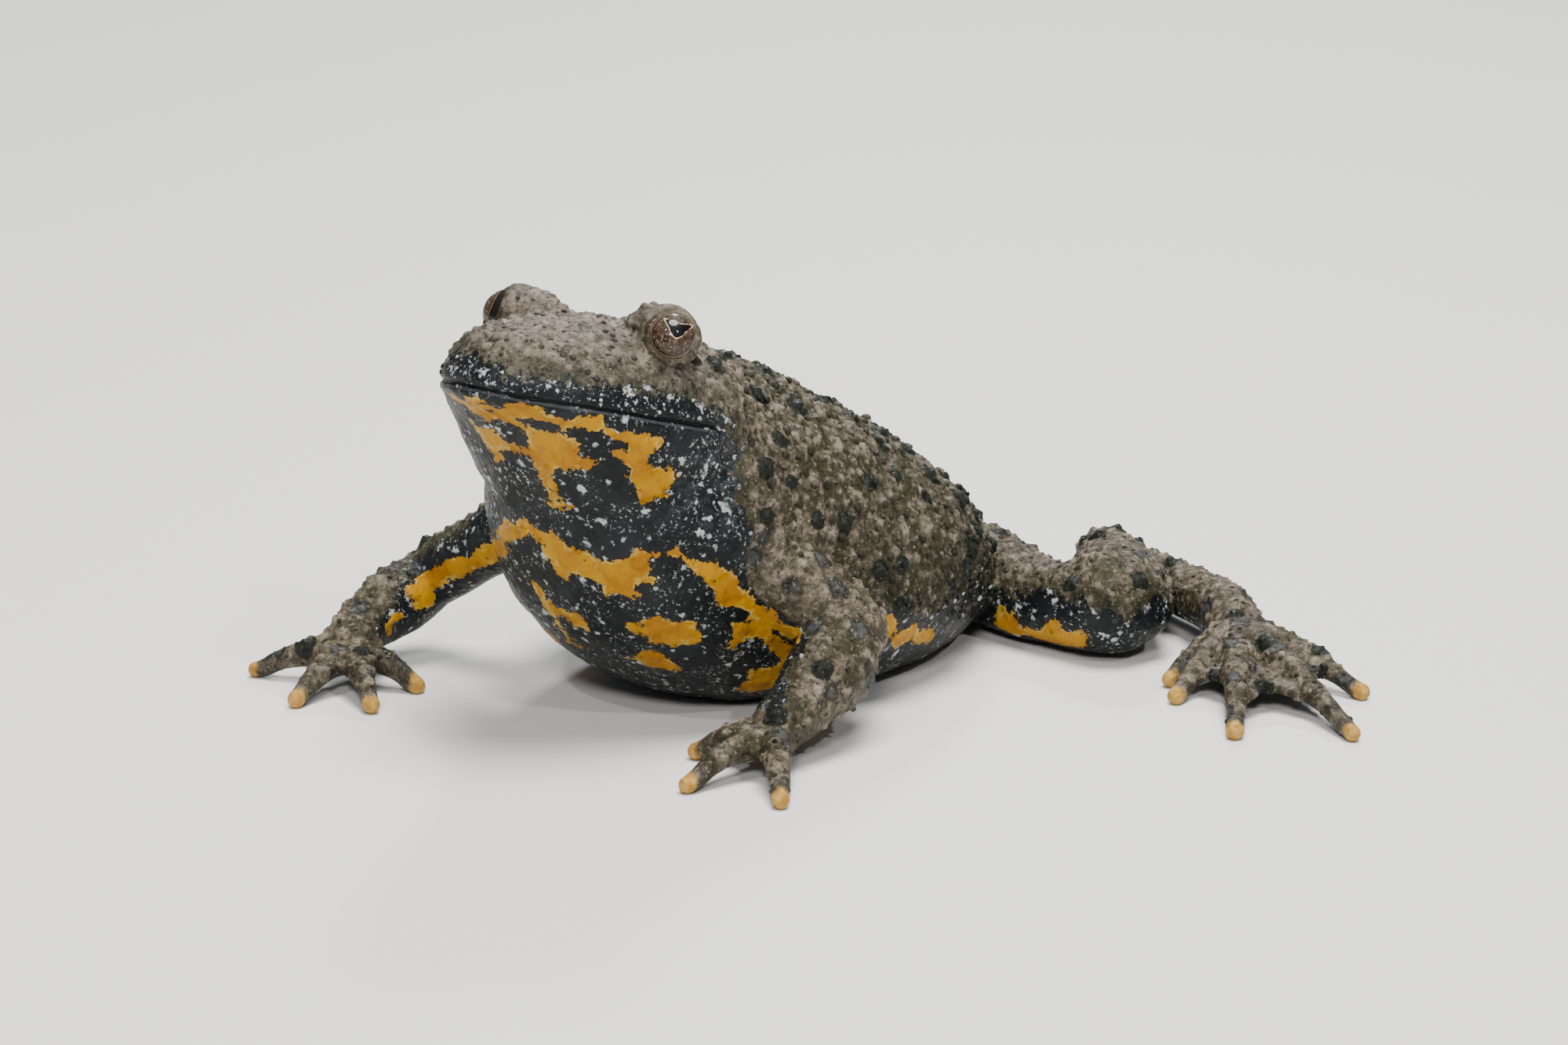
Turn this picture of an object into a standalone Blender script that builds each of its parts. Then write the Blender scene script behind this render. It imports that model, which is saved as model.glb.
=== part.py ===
"""A life-size model of a yellow-bellied toad, resting on its belly with its head raised.

The toad faces -Y and its left side is +X. The origin is on the floor, in the middle of the flat of its belly.
Lofted and beaded forms are fused by a voxel remesh, thinned out, and set into one another with narrow gaps.
Sizes are in millimetres until each mesh is made.
"""

import math
import random

import bmesh
import bpy
from mathutils import Matrix, Vector
from mathutils.bvhtree import BVHTree

MM = 0.001
SEED = 7

# Gap between neighbouring pieces, and the block that flattens what rests on the floor
GAP = 0.3
FLOOR_DEPTH = 8.0
FLOOR_REACH = 60.0

# Grain and smoothing of the remesh, and the number of triangles kept in each piece
TRUNK_GRAIN = 0.4
TRUNK_SMOOTHING = 4
TRUNK_FACES = 2500
LIMB_GRAIN = 0.28
LIMB_SMOOTHING = 3
LIMB_FACES = 200
PAW_GRAIN = 0.25
PAW_SMOOTHING = 1
HAND_FACES = 520
FOOT_FACES = 820
BALL_TURNS = 12
BALL_LEVELS = 7

# The trunk's rings: back (y, z) and belly (y, z) on the midline, and half width
TRUNK = [
    (-15.5, 19.6, -21.6, 12.5, 5.6),
    (-11.0, 19.9, -20.8, 9.4, 8.0),
    (-6.2, 18.2, -18.6, 5.0, 9.5),
    (-1.5, 15.8, -14.0, 1.2, 10.4),
    (2.0, 13.9, -8.0, -0.8, 10.9),
    (5.4, 11.7, -2.0, -1.2, 10.4),
    (8.6, 9.4, 4.0, -1.2, 8.6),
    (11.2, 7.2, 8.6, -0.8, 6.3),
    (13.4, 5.6, 11.8, 0.3, 4.2),
    (15.4, 4.4, 14.4, 1.3, 2.8),
    (16.8, 3.4, 16.2, 2.2, 1.4),
]
TRUNK_SIDES = 40
# Where a ring is widest, from belly to back, and how square its sides, back and belly are
TRUNK_WIDEST = 0.46
TRUNK_SQUARE_SIDES = 0.9
TRUNK_SQUARE_ENDS = 0.95

# The head's own frame: its centre is between the corners of the mouth, forward runs along the mouth plane
HEAD_PITCH = math.radians(18)
HEAD_CENTRE = Vector((0, -16.5, 17.2))
# Sections of the head: forward, half width at the lip, rise to the crown, drop to the throat
HEAD = [
    (-7.5, 5.2, 3.4, 5.0),
    (-5.0, 7.0, 4.3, 7.2),
    (-2.5, 7.8, 4.8, 7.8),
    (0.0, 8.0, 4.9, 7.9),
    (2.5, 7.6, 4.8, 6.8),
    (4.5, 6.8, 4.4, 5.1),
    (6.3, 5.9, 3.9, 3.15),
    (8.1, 4.7, 3.3, 1.65),
    (9.5, 3.4, 2.6, 1.1),
    (10.4, 2.2, 1.6, 0.9),
    (10.9, 1.1, 0.8, 0.4),
]
HEAD_SIDES = 40
CHEEK = 0.82
JOWL = 0.95
# The mouth line: how far forward, and how far above the head's middle
MOUTH_LINE = [(-1.0, 0.4), (0.0, 0.27), (3.3, 0.14), (5.8, 0.06), (8.0, -0.05), (9.9, -0.2), (11.0, -0.13)]
MOUTH_GAPE = 0.3
MOUTH_DEPTH = 0.55
MOUTH_MARGIN = 0.9
MOUTH_CORNER = -0.6
MOUTH_STEPS = 12

# Eyes, in the head's frame for the toad's left side
EYE_PLACE = (5.85, 2.6, 4.36)
EYE_AXIS = (0.67, 0.74, 0.2)
EYE_RADIUS = 1.4
# The right eye is drawn in a little further than the left
EYE_SINK = {1: 0.0, -1: 0.34}
EYE_TURNS = 20
EYE_LEVELS = 12
# The mound behind each eye, the swelling under it, and the crown of the brow: places from the eye, and radii
EYE_MOUND = (-0.55, -0.24, 0.16, 1.68)
EYE_CHEEK = (-1.0, 0.0, -1.35, 1.6)
BROW_CROWN = (-1.55, -0.4, 0.12, 1.6)
BROW_ROOT = (2.8, 1.6, 2.6)
BROW_ROOT_RADIUS = 2.1
LID_RING = 1.45
LID_WIRE = 0.2
LID_SHIFT = 0.95
LID_TURNS = 18
LID_SIDES = 6
NOSTRIL_PLACE = (1.6, 9.0, 2.5)
NOSTRIL_AXIS = (0.7, 0.35, 0.6)
NOSTRIL_RADIUS = 0.3
NOSTRIL_DEPTH = 0.3
NOSTRIL_REACH = 1.4

# The neck cut: a point on it and its normal
NECK_POINT = Vector((0, -14.0, 16.5))
NECK_NORMAL = Vector((0, -0.72, 0.69))
NECK_REACH = 20.0

# Limbs as beads: x, y, z, radius
BEADS = {
    "upper_arm_left": [(6.3, -13.6, 10.8, 2.6), (8.6, -11.9, 8.4, 2.5), (11.2, -9.6, 5.7, 2.2)],
    "forearm_left": [(11.3, -9.5, 5.6, 1.9), (12.2, -11.9, 4.4, 2.35), (12.8, -15.2, 2.95, 1.75)],
    "upper_arm_right": [(-7.0, -13.4, 9.9, 2.3), (-11.4, -13.9, 7.2, 1.95), (-15.4, -14.3, 4.7, 1.8)],
    "forearm_right": [(-15.5, -14.3, 4.6, 1.6), (-15.9, -16.4, 3.7, 2.0), (-15.9, -19.0, 2.95, 1.6)],
    "thigh_left": [
        (4.6, 11.0, 3.1, 2.85),
        (8.8, 10.1, 2.6, 2.5),
        (11.7, 9.9, 2.65, 2.45),
        (14.5, 10.3, 3.2, 2.95),
    ],
    "shank_left": [(15.4, 11.4, 2.9, 2.1), (11.4, 15.6, 2.7, 2.4), (6.4, 21.0, 2.2, 1.8)],
    "thigh_right": [
        (-4.6, 11.0, 3.1, 2.85),
        (-8.8, 10.1, 2.6, 2.5),
        (-11.7, 9.9, 2.65, 2.45),
        (-14.4, 10.3, 3.2, 2.95),
    ],
    "shank_right": [(-15.2, 11.5, 2.9, 2.1), (-11.2, 15.7, 2.7, 2.4), (-6.4, 21.0, 2.2, 1.8)],
}

# Hands and feet: beads of the wrist or ankle, the root of the digits, and their tips on the floor
HANDS = {
    "hand_left": {
        "beads": [(12.8, -15.4, 2.9, 1.6), (12.9, -17.2, 2.35, 1.5)],
        "root": (13.0, -17.8),
        "tips": [(9.6, -14.9), (8.8, -19.2), (12.1, -23.7), (17.4, -22.5)],
    },
    "hand_right": {
        "beads": [(-15.9, -19.2, 2.9, 1.5), (-15.3, -20.8, 2.35, 1.5)],
        "root": (-15.0, -21.4),
        "tips": [(-11.0, -20.2), (-10.2, -24.5), (-14.2, -26.4), (-20.1, -23.8)],
    },
}
FEET = {
    "foot_left": {
        "beads": [
            (6.6, 21.4, 1.9, 1.5),
            (12.4, 19.0, 2.1, 1.5),
            (18.0, 16.0, 2.3, 1.6),
            (21.0, 13.6, 2.15, 1.55),
        ],
        "root": (21.4, 13.2),
        "tips": [(20.5, 7.6), (22.6, 5.3), (28.7, 2.1), (33.7, 5.9), (30.0, 12.6)],
    },
    "foot_right": {
        "beads": [
            (-6.6, 21.4, 1.9, 1.5),
            (-11.4, 20.2, 2.1, 1.5),
            (-16.0, 18.4, 2.3, 1.6),
            (-18.0, 16.4, 2.15, 1.55),
        ],
        "root": (-18.3, 16.0),
        "tips": [(-15.8, 10.6), (-19.6, 8.4), (-25.6, 5.0), (-28.4, 9.0), (-26.6, 14.4)],
    },
}
# Along a digit, from the palm to the tip: how far out, how high, and how thick
FINGER = [
    (0.0, 1.75, 1.2),
    (0.28, 1.75, 0.92),
    (0.52, 1.5, 0.7),
    (0.76, 1.05, 0.56),
    (0.92, 0.56, 0.52),
    (1.0, 0.42, 0.52),
]
TOE = [
    (0.0, 2.05, 1.35),
    (0.28, 1.95, 1.0),
    (0.52, 1.65, 0.76),
    (0.76, 1.15, 0.6),
    (0.92, 0.6, 0.54),
    (1.0, 0.42, 0.53),
]
# Webs: where they start, how far out they reach, the hollow of the free edge,
# and how far they hang under the toes
WEB_START = 0.12
HAND_WEB_REACH = 0.58
FOOT_WEB_REACH = 0.84
WEB_HOLLOW = 0.24
WEB_THICKNESS = 0.5
WEB_HANG = 0.05
WEB_SAG = 0.1
WEB_ALONG = 3
WEB_ACROSS = 4

# Warts on the back and the crown of the head
BACK_WARTS = 70
HEAD_WARTS = 22
WART_LEAST = 0.45
WART_MOST = 0.8
WART_SPACING = 1.5
WART_SIDES = 6
WART_RINGS = ((-0.5, 1.0), (0.36, 0.72))
WART_TOP = 0.66
WART_TRIES = 60
BACK_LEAST_SLOPE = 0.35
BACK_LEAST_HEIGHT = 5.0
SHOULDER_LINE = -12.0
CROWN_LEAST_SLOPE = 0.5
CROWN_FRONT = -24.0
CROWN_EYE_CLEARANCE = 3.2

SKIN_BROWN = (0.17, 0.145, 0.105, 1.0)
SKIN_SLATE = (0.13, 0.125, 0.11, 1.0)
DIGIT_TAN = (0.30, 0.22, 0.12, 1.0)
IRIS_BRONZE = (0.28, 0.16, 0.05, 1.0)
SKIN_ROUGHNESS = 0.42
EYE_ROUGHNESS = 0.08


def clear_scene():
    for obj in list(bpy.data.objects):
        bpy.data.objects.remove(obj, do_unlink=True)


def add_object(name, bm):
    """Make an object of this mesh, with its faces turned out and its sizes brought to metres."""
    bmesh.ops.recalc_face_normals(bm, faces=bm.faces)
    bmesh.ops.scale(bm, vec=(MM, MM, MM), verts=bm.verts)
    mesh = bpy.data.meshes.new(name)
    bm.to_mesh(mesh)
    bm.free()
    obj = bpy.data.objects.new(name, mesh)
    bpy.context.scene.collection.objects.link(obj)
    return obj


def settle(obj):
    """Put the object's modifiers into its mesh."""
    bpy.context.view_layer.update()
    graph = bpy.context.evaluated_depsgraph_get()
    mesh = bpy.data.meshes.new_from_object(obj.evaluated_get(graph))
    obj.modifiers.clear()
    obj.data = mesh
    return obj


def keep_largest(obj):
    """Drop every closed surface of the object but its largest."""
    bm = bmesh.new()
    bm.from_mesh(obj.data)
    left = set(bm.verts)
    shells = []
    while left:
        seed = left.pop()
        shell = {seed}
        stack = [seed]
        while stack:
            for edge in stack.pop().link_edges:
                for vert in edge.verts:
                    if vert in left:
                        left.discard(vert)
                        shell.add(vert)
                        stack.append(vert)
        shells.append(shell)
    shells.sort(key=len, reverse=True)
    for shell in shells[1:]:
        bmesh.ops.delete(bm, geom=list(shell), context="VERTS")
    bm.to_mesh(obj.data)
    bm.free()


def loft(bm, rings):
    """Add a closed loft through these rings of equal length."""
    rows = [[bm.verts.new(point) for point in ring] for ring in rings]
    for row, following in zip(rows, rows[1:]):
        for i in range(len(row)):
            j = (i + 1) % len(row)
            bm.faces.new((row[i], row[j], following[j], following[i]))
    bm.faces.new(rows[0])
    bm.faces.new(rows[-1])


def add_hull(bm, points):
    made = [bm.verts.new(point) for point in points]
    found = bmesh.ops.convex_hull(bm, input=made)
    loose = [item for item in found["geom_interior"] if isinstance(item, bmesh.types.BMVert)]
    bmesh.ops.delete(bm, geom=loose, context="VERTS")


def sphere_points(centre, radius, turns=BALL_TURNS, levels=BALL_LEVELS):
    points = []
    for level in range(levels + 1):
        polar = math.pi * level / levels
        count = 1 if level in (0, levels) else turns
        for turn in range(count):
            around = 2 * math.pi * turn / turns
            flat = math.sin(polar)
            way = Vector((flat * math.cos(around), flat * math.sin(around), math.cos(polar)))
            points.append(centre + way * radius)
    return points


def add_beads(bm, beads):
    """Add tapered round links from each bead to the next."""
    for first, second in zip(beads, beads[1:]):
        ends = sphere_points(Vector(first[:3]), first[3]) + sphere_points(Vector(second[:3]), second[3])
        add_hull(bm, ends)


def fuse(obj, grain, smoothing, faces):
    """Melt the object's overlapping forms into one smooth skin of about this many triangles."""
    remesh = obj.modifiers.new("fuse", "REMESH")
    remesh.mode = "VOXEL"
    remesh.voxel_size = grain * MM
    smooth = obj.modifiers.new("soften", "SMOOTH")
    smooth.factor = 0.5
    smooth.iterations = smoothing
    settle(obj)
    keep_largest(obj)
    triangles = 2 * len(obj.data.polygons)
    thin = obj.modifiers.new("thin", "DECIMATE")
    thin.ratio = min(1.0, faces / triangles)
    thin.use_collapse_triangulate = True
    settle(obj)
    keep_largest(obj)
    return obj


def cut(obj, cutter, solver="EXACT"):
    """Take the cutter out of the object."""
    cutter.hide_render = True
    cutter.display_type = "WIRE"
    step = obj.modifiers.new("cut", "BOOLEAN")
    step.operation = "DIFFERENCE"
    step.solver = solver
    step.object = cutter
    settle(obj)


def drop(obj):
    bpy.data.objects.remove(obj, do_unlink=True)


def block(name, low, high):
    bm = bmesh.new()
    corners = [(x, y, z) for x in (low[0], high[0]) for y in (low[1], high[1]) for z in (low[2], high[2])]
    add_hull(bm, [Vector(corner) for corner in corners])
    return add_object(name, bm)


def flatten_base(obj, floor):
    """Cut off what lies under the floor, where the object reaches it."""
    if min(vert.co.z for vert in obj.data.vertices) < 0:
        cut(obj, floor)
        keep_largest(obj)


def head_axes():
    forward = Vector((0, -math.cos(HEAD_PITCH), math.sin(HEAD_PITCH)))
    return Vector((1, 0, 0)), forward, Vector((0, math.sin(HEAD_PITCH), math.cos(HEAD_PITCH)))


def head_point(across, forward, up):
    """A place given in the head's frame."""
    axes = head_axes()
    return HEAD_CENTRE + axes[0] * across + axes[1] * forward + axes[2] * up


def head_way(across, forward, up):
    axes = head_axes()
    return (axes[0] * across + axes[1] * forward + axes[2] * up).normalized()


def power(value, exponent):
    return math.copysign(abs(value) ** exponent, value)


def trunk_rings():
    rings = []
    for back_y, back_z, belly_y, belly_z, half in TRUNK:
        back = Vector((0, back_y, back_z))
        belly = Vector((0, belly_y, belly_z))
        middle = belly.lerp(back, TRUNK_WIDEST)
        ring = []
        for i in range(TRUNK_SIDES):
            turn = 2 * math.pi * i / TRUNK_SIDES
            across = half * power(math.cos(turn), TRUNK_SQUARE_SIDES)
            rise = power(math.sin(turn), TRUNK_SQUARE_ENDS)
            reach = back - middle if rise > 0 else middle - belly
            ring.append(middle + Vector((across, 0, 0)) + reach * rise)
        rings.append(ring)
    return rings


def head_rings():
    rings = []
    for forward, half, rise, fall in HEAD:
        ring = []
        for i in range(HEAD_SIDES):
            turn = 2 * math.pi * i / HEAD_SIDES
            height = math.sin(turn)
            side = power(math.cos(turn), CHEEK if height > 0 else JOWL)
            up = height * (rise if height > 0 else fall)
            ring.append(head_point(half * side, forward, up))
        rings.append(ring)
    return rings


def beside_eye(side, shift):
    """A place this far from the middle of the eye, in the head's frame."""
    up = EYE_PLACE[2] - EYE_SINK[side] + shift[2]
    return head_point(side * (EYE_PLACE[0] + shift[0]), EYE_PLACE[1] + shift[1], up)


def eye_centre(side):
    return beside_eye(side, (0.0, 0.0, 0.0))


def eye_way(side):
    return head_way(side * EYE_AXIS[0], EYE_AXIS[1], EYE_AXIS[2])


def make_trunk():
    """The trunk and the head as one skin, with mounds for the eyes."""
    bm = bmesh.new()
    loft(bm, trunk_rings())
    loft(bm, head_rings())
    for side in (-1, 1):
        for ball in (EYE_MOUND, EYE_CHEEK):
            add_hull(bm, sphere_points(beside_eye(side, ball), ball[3], EYE_TURNS, EYE_LEVELS))
        root = head_point(side * BROW_ROOT[0], BROW_ROOT[1], BROW_ROOT[2])
        crown = beside_eye(side, BROW_CROWN)
        add_beads(bm, [(*root, BROW_ROOT_RADIUS), (*crown, BROW_CROWN[3])])
    return fuse(add_object("torso", bm), TRUNK_GRAIN, TRUNK_SMOOTHING, TRUNK_FACES)


def between(rows, share):
    """The value that these (share, value) rows give at this share."""
    for (near, first), (far, second) in zip(rows, rows[1:]):
        if share <= far:
            return first + (second - first) * max(0.0, share - near) / (far - near)
    return rows[-1][1]


def add_digit(bm, root, tip, profile):
    """A digit that leaves the palm high, arches over its knuckle and comes down to its tip on the floor."""
    start = Vector(root)
    end = Vector(tip)
    beads = []
    for share, height, radius in profile:
        place = start.lerp(end, share)
        beads.append((place.x, place.y, height, radius))
    add_beads(bm, beads)


def add_web(bm, root, first, second, reach, profile):
    """A thin arched skin between two digits, with a hollow free edge."""
    start = Vector(root)
    heights = [(share, height) for share, height, _ in profile]
    rows = []
    for i in range(WEB_ALONG + 1):
        row = []
        for j in range(WEB_ACROSS + 1):
            t = j / WEB_ACROSS
            bow = 4 * t * (1 - t)
            edge = reach * (1 - WEB_HOLLOW * bow)
            share = WEB_START + (edge - WEB_START) * i / WEB_ALONG
            place = start.lerp(Vector(first).lerp(Vector(second), t), share)
            row.append(Vector((place.x, place.y, between(heights, share) - WEB_HANG - WEB_SAG * bow)))
        rows.append(row)
    lift = Vector((0, 0, WEB_THICKNESS / 2))
    for i in range(WEB_ALONG):
        for j in range(WEB_ACROSS):
            corners = [rows[i][j], rows[i][j + 1], rows[i + 1][j], rows[i + 1][j + 1]]
            add_hull(bm, [point - lift for point in corners] + [point + lift for point in corners])


def make_paw(name, plan, profile, reach, faces):
    bm = bmesh.new()
    add_beads(bm, plan["beads"])
    for tip in plan["tips"]:
        add_digit(bm, plan["root"], tip, profile)
    for first, second in zip(plan["tips"], plan["tips"][1:]):
        add_web(bm, plan["root"], first, second, reach, profile)
    return fuse(add_object(name, bm), PAW_GRAIN, PAW_SMOOTHING, faces)


def make_limbs():
    limbs = []
    for name, beads in BEADS.items():
        bm = bmesh.new()
        add_beads(bm, beads)
        limbs.append(fuse(add_object(name, bm), LIMB_GRAIN, LIMB_SMOOTHING, LIMB_FACES))
    for name, plan in HANDS.items():
        limbs.append(make_paw(name, plan, FINGER, HAND_WEB_REACH, HAND_FACES))
    for name, plan in FEET.items():
        limbs.append(make_paw(name, plan, TOE, FOOT_WEB_REACH, FOOT_FACES))
    return limbs


def swollen(obj):
    """A copy of the object grown by the gap, as a cutter for what it is set into."""
    bm = bmesh.new()
    bm.from_mesh(obj.data)
    bm.normal_update()
    moves = [vert.normal * GAP * MM for vert in bm.verts]
    for vert, move in zip(bm.verts, moves):
        vert.co += move
    mesh = bpy.data.meshes.new(obj.name + "_room")
    bm.to_mesh(mesh)
    bm.free()
    grown = bpy.data.objects.new(obj.name + "_room", mesh)
    bpy.context.scene.collection.objects.link(grown)
    return grown


def reach_box(obj):
    low = [min(vert.co[axis] for vert in obj.data.vertices) for axis in range(3)]
    high = [max(vert.co[axis] for vert in obj.data.vertices) for axis in range(3)]
    return low, high


def meet(first, second):
    low_a, high_a = reach_box(first)
    low_b, high_b = reach_box(second)
    return all(low_a[axis] < high_b[axis] and low_b[axis] < high_a[axis] for axis in range(3))


def touches(first, second):
    """Whether the skins of the two objects cross."""
    trees = []
    for obj in (first, second):
        bm = bmesh.new()
        bm.from_mesh(obj.data)
        trees.append(BVHTree.FromBMesh(bm))
        bm.free()
    return bool(trees[0].overlap(trees[1]))


def make_room(pieces):
    """Cut each piece back from every later piece that it runs into."""
    for i, piece in enumerate(pieces):
        for other in pieces[i + 1 :]:
            if not meet(piece, other):
                continue
            room = swollen(other)
            if touches(piece, room):
                cut(piece, room, "MANIFOLD")
                keep_largest(piece)
            drop(room)


def part_at_neck(trunk):
    """Cut the trunk in two with a thin slab, and return the torso and the head."""
    slab = block("neck_cut", (-NECK_REACH, -GAP / 2, -NECK_REACH), (NECK_REACH, GAP / 2, NECK_REACH))
    turn = Vector((0, 1, 0)).rotation_difference(NECK_NORMAL.normalized())
    slab.data.transform(Matrix.Translation(NECK_POINT * MM) @ turn.to_matrix().to_4x4())
    cut(trunk, slab)
    drop(slab)
    pieces = []
    for name, side in (("torso", -1), ("head", 1)):
        bm = bmesh.new()
        bm.from_mesh(trunk.data)
        normal = NECK_NORMAL.normalized()
        far = [vert for vert in bm.verts if (vert.co / MM - NECK_POINT).dot(normal) * side < 0]
        bmesh.ops.delete(bm, geom=far, context="VERTS")
        mesh = bpy.data.meshes.new(name)
        bm.to_mesh(mesh)
        bm.free()
        piece = bpy.data.objects.new(name + "_part", mesh)
        bpy.context.scene.collection.objects.link(piece)
        pieces.append(piece)
    drop(trunk)
    for piece, name in zip(pieces, ("torso", "head")):
        piece.name = name
    return pieces


def torus_points(centre, way, ring, wire):
    side = way.orthogonal().normalized()
    other = way.cross(side)
    rings = []
    for turn in range(LID_TURNS):
        around = 2 * math.pi * turn / LID_TURNS
        out = side * math.cos(around) + other * math.sin(around)
        row = []
        for k in range(LID_SIDES):
            roll = 2 * math.pi * k / LID_SIDES
            row.append(centre + out * (ring + wire * math.cos(roll)) + way * wire * math.sin(roll))
        rings.append(row)
    return rings


def add_torus(name, centre, way, ring, wire):
    bm = bmesh.new()
    rows = [[bm.verts.new(point) for point in row] for row in torus_points(centre, way, ring, wire)]
    for i in range(LID_TURNS):
        row = rows[i]
        following = rows[(i + 1) % LID_TURNS]
        for k in range(LID_SIDES):
            m = (k + 1) % LID_SIDES
            bm.faces.new((row[k], row[m], following[m], following[k]))
    return add_object(name, bm)


def unite(obj, extras):
    """Join these closed pieces to the object with one union."""
    if not extras:
        return
    group = bpy.data.collections.new(obj.name + "_extras")
    for extra in extras:
        group.objects.link(extra)
    step = obj.modifiers.new("join", "BOOLEAN")
    step.operation = "UNION"
    step.operand_type = "COLLECTION"
    step.solver = "MANIFOLD"
    step.collection = group
    settle(obj)
    for extra in extras:
        drop(extra)
    bpy.data.collections.remove(group)
    keep_largest(obj)


def add_wart(name, place, way, radius):
    """A low dome with its root sunk into the skin."""
    side = way.orthogonal().normalized()
    other = way.cross(side)
    points = []
    for level, spread in WART_RINGS:
        for k in range(WART_SIDES):
            around = 2 * math.pi * (k + level) / WART_SIDES
            out = side * math.cos(around) + other * math.sin(around)
            points.append(place + (out * spread + way * level) * radius)
    points.append(place + way * radius * WART_TOP)
    bm = bmesh.new()
    add_hull(bm, points)
    return add_object(name, bm)


def scatter_warts(obj, count, accept, rng):
    """Warts set at random on the skin where accept allows, no closer than their spacing."""
    bm = bmesh.new()
    bm.from_mesh(obj.data)
    bm.faces.ensure_lookup_table()
    bm.normal_update()
    areas = [face.calc_area() for face in bm.faces]
    warts = []
    places = []
    tries = 0
    while len(warts) < count and tries < count * WART_TRIES:
        tries += 1
        face = rng.choices(bm.faces, weights=areas)[0]
        shares = [rng.random() for _ in face.verts]
        total = sum(shares)
        place = sum((vert.co * (share / total) for vert, share in zip(face.verts, shares)), Vector()) / MM
        way = face.normal.copy()
        if not accept(place, way):
            continue
        if any((place - other).length < WART_SPACING for other in places):
            continue
        places.append(place)
        radius = rng.uniform(WART_LEAST, WART_MOST)
        warts.append(add_wart(f"wart_{obj.name}_{len(warts)}", place, way, radius))
    bm.free()
    return warts


def on_back(place, way):
    return way.z > BACK_LEAST_SLOPE and place.z > BACK_LEAST_HEIGHT and place.y > SHOULDER_LINE


def on_crown(place, way):
    clear = min((place - eye_centre(side)).length for side in (-1, 1)) > CROWN_EYE_CLEARANCE
    return way.z > CROWN_LEAST_SLOPE and CROWN_FRONT < place.y < SHOULDER_LINE and clear


def lip_half(forward):
    """Half width of the head at the mouth plane."""
    for (near, wide, _, _), (far, slim, _, _) in zip(HEAD, HEAD[1:]):
        if near <= forward <= far:
            return wide + (slim - wide) * (forward - near) / (far - near)
    return 0.0


def lip_line():
    """Points round the lips from the left corner to the right one, as (across, forward)."""
    reach = HEAD[-1][0]
    side = []
    for i in range(MOUTH_STEPS):
        forward = MOUTH_CORNER + (reach - MOUTH_CORNER) * math.sin(math.pi / 2 * i / MOUTH_STEPS)
        side.append((lip_half(forward), forward))
    return side + [(0.0, reach)] + [(-across, forward) for across, forward in reversed(side)]


def mouth_cutter():
    """A thin curved plate that follows the lips from corner to corner."""
    line = [Vector(point) for point in lip_line()]
    bm = bmesh.new()
    rows = []
    for i, point in enumerate(line):
        along = line[min(i + 1, len(line) - 1)] - line[max(i - 1, 0)]
        out = Vector((along.y, -along.x)).normalized()
        if out.dot(point - Vector((0, MOUTH_CORNER))) < 0:
            out.negate()
        edge = point + out * MOUTH_MARGIN
        root = point - out * MOUTH_DEPTH
        height = between(MOUTH_LINE, point.y)
        half = MOUTH_GAPE / 2
        ring = []
        for place, up in ((edge, -half), (edge, half), (root, half), (root, -half)):
            ring.append(bm.verts.new(head_point(place.x, place.y, height + up)))
        rows.append(ring)
    for row, following in zip(rows, rows[1:]):
        for k in range(4):
            m = (k + 1) % 4
            bm.faces.new((row[k], row[m], following[m], following[k]))
    bm.faces.new(rows[0])
    bm.faces.new(rows[-1])
    return add_object("mouth_cut", bm)


def finish_head(head, rng):
    """Lids, mouth, nostrils and crown warts, and the sockets that the eyes sit in."""
    extras = []
    for side in (-1, 1):
        ring_centre = eye_centre(side) + eye_way(side) * LID_SHIFT
        extras.append(add_torus(f"lid_{side + 1}", ring_centre, eye_way(side), LID_RING, LID_WIRE))
    extras += scatter_warts(head, HEAD_WARTS, on_crown, rng)
    unite(head, extras)
    mouth = mouth_cutter()
    cut(head, mouth, "MANIFOLD")
    drop(mouth)
    for side in (-1, 1):
        bm = bmesh.new()
        add_hull(bm, sphere_points(eye_centre(side), EYE_RADIUS + GAP, EYE_TURNS, EYE_LEVELS))
        socket = add_object("socket", bm)
        cut(head, socket, "MANIFOLD")
        drop(socket)
        bm = bmesh.new()
        place = head_point(side * NOSTRIL_PLACE[0], NOSTRIL_PLACE[1], NOSTRIL_PLACE[2])
        way = head_way(side * NOSTRIL_AXIS[0], NOSTRIL_AXIS[1], NOSTRIL_AXIS[2])
        inner = place - way * NOSTRIL_DEPTH
        outer = place + way * NOSTRIL_REACH
        add_beads(bm, [(*inner, NOSTRIL_RADIUS), (*outer, NOSTRIL_RADIUS)])
        nostril = add_object("nostril", bm)
        cut(head, nostril, "MANIFOLD")
        drop(nostril)
    keep_largest(head)


def make_eyes():
    eyes = []
    for side, name in ((1, "eye_left"), (-1, "eye_right")):
        bm = bmesh.new()
        add_hull(bm, sphere_points(eye_centre(side), EYE_RADIUS, EYE_TURNS, EYE_LEVELS))
        eyes.append(add_object(name, bm))
    return eyes


def colour(obj, tint, roughness):
    material = bpy.data.materials.new("finish_" + obj.name)
    material.use_nodes = True
    shader = material.node_tree.nodes["Principled BSDF"]
    shader.inputs["Base Color"].default_value = tint
    shader.inputs["Roughness"].default_value = roughness
    shader.inputs["Metallic"].default_value = 0.0
    obj.data.materials.clear()
    obj.data.materials.append(material)


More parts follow.
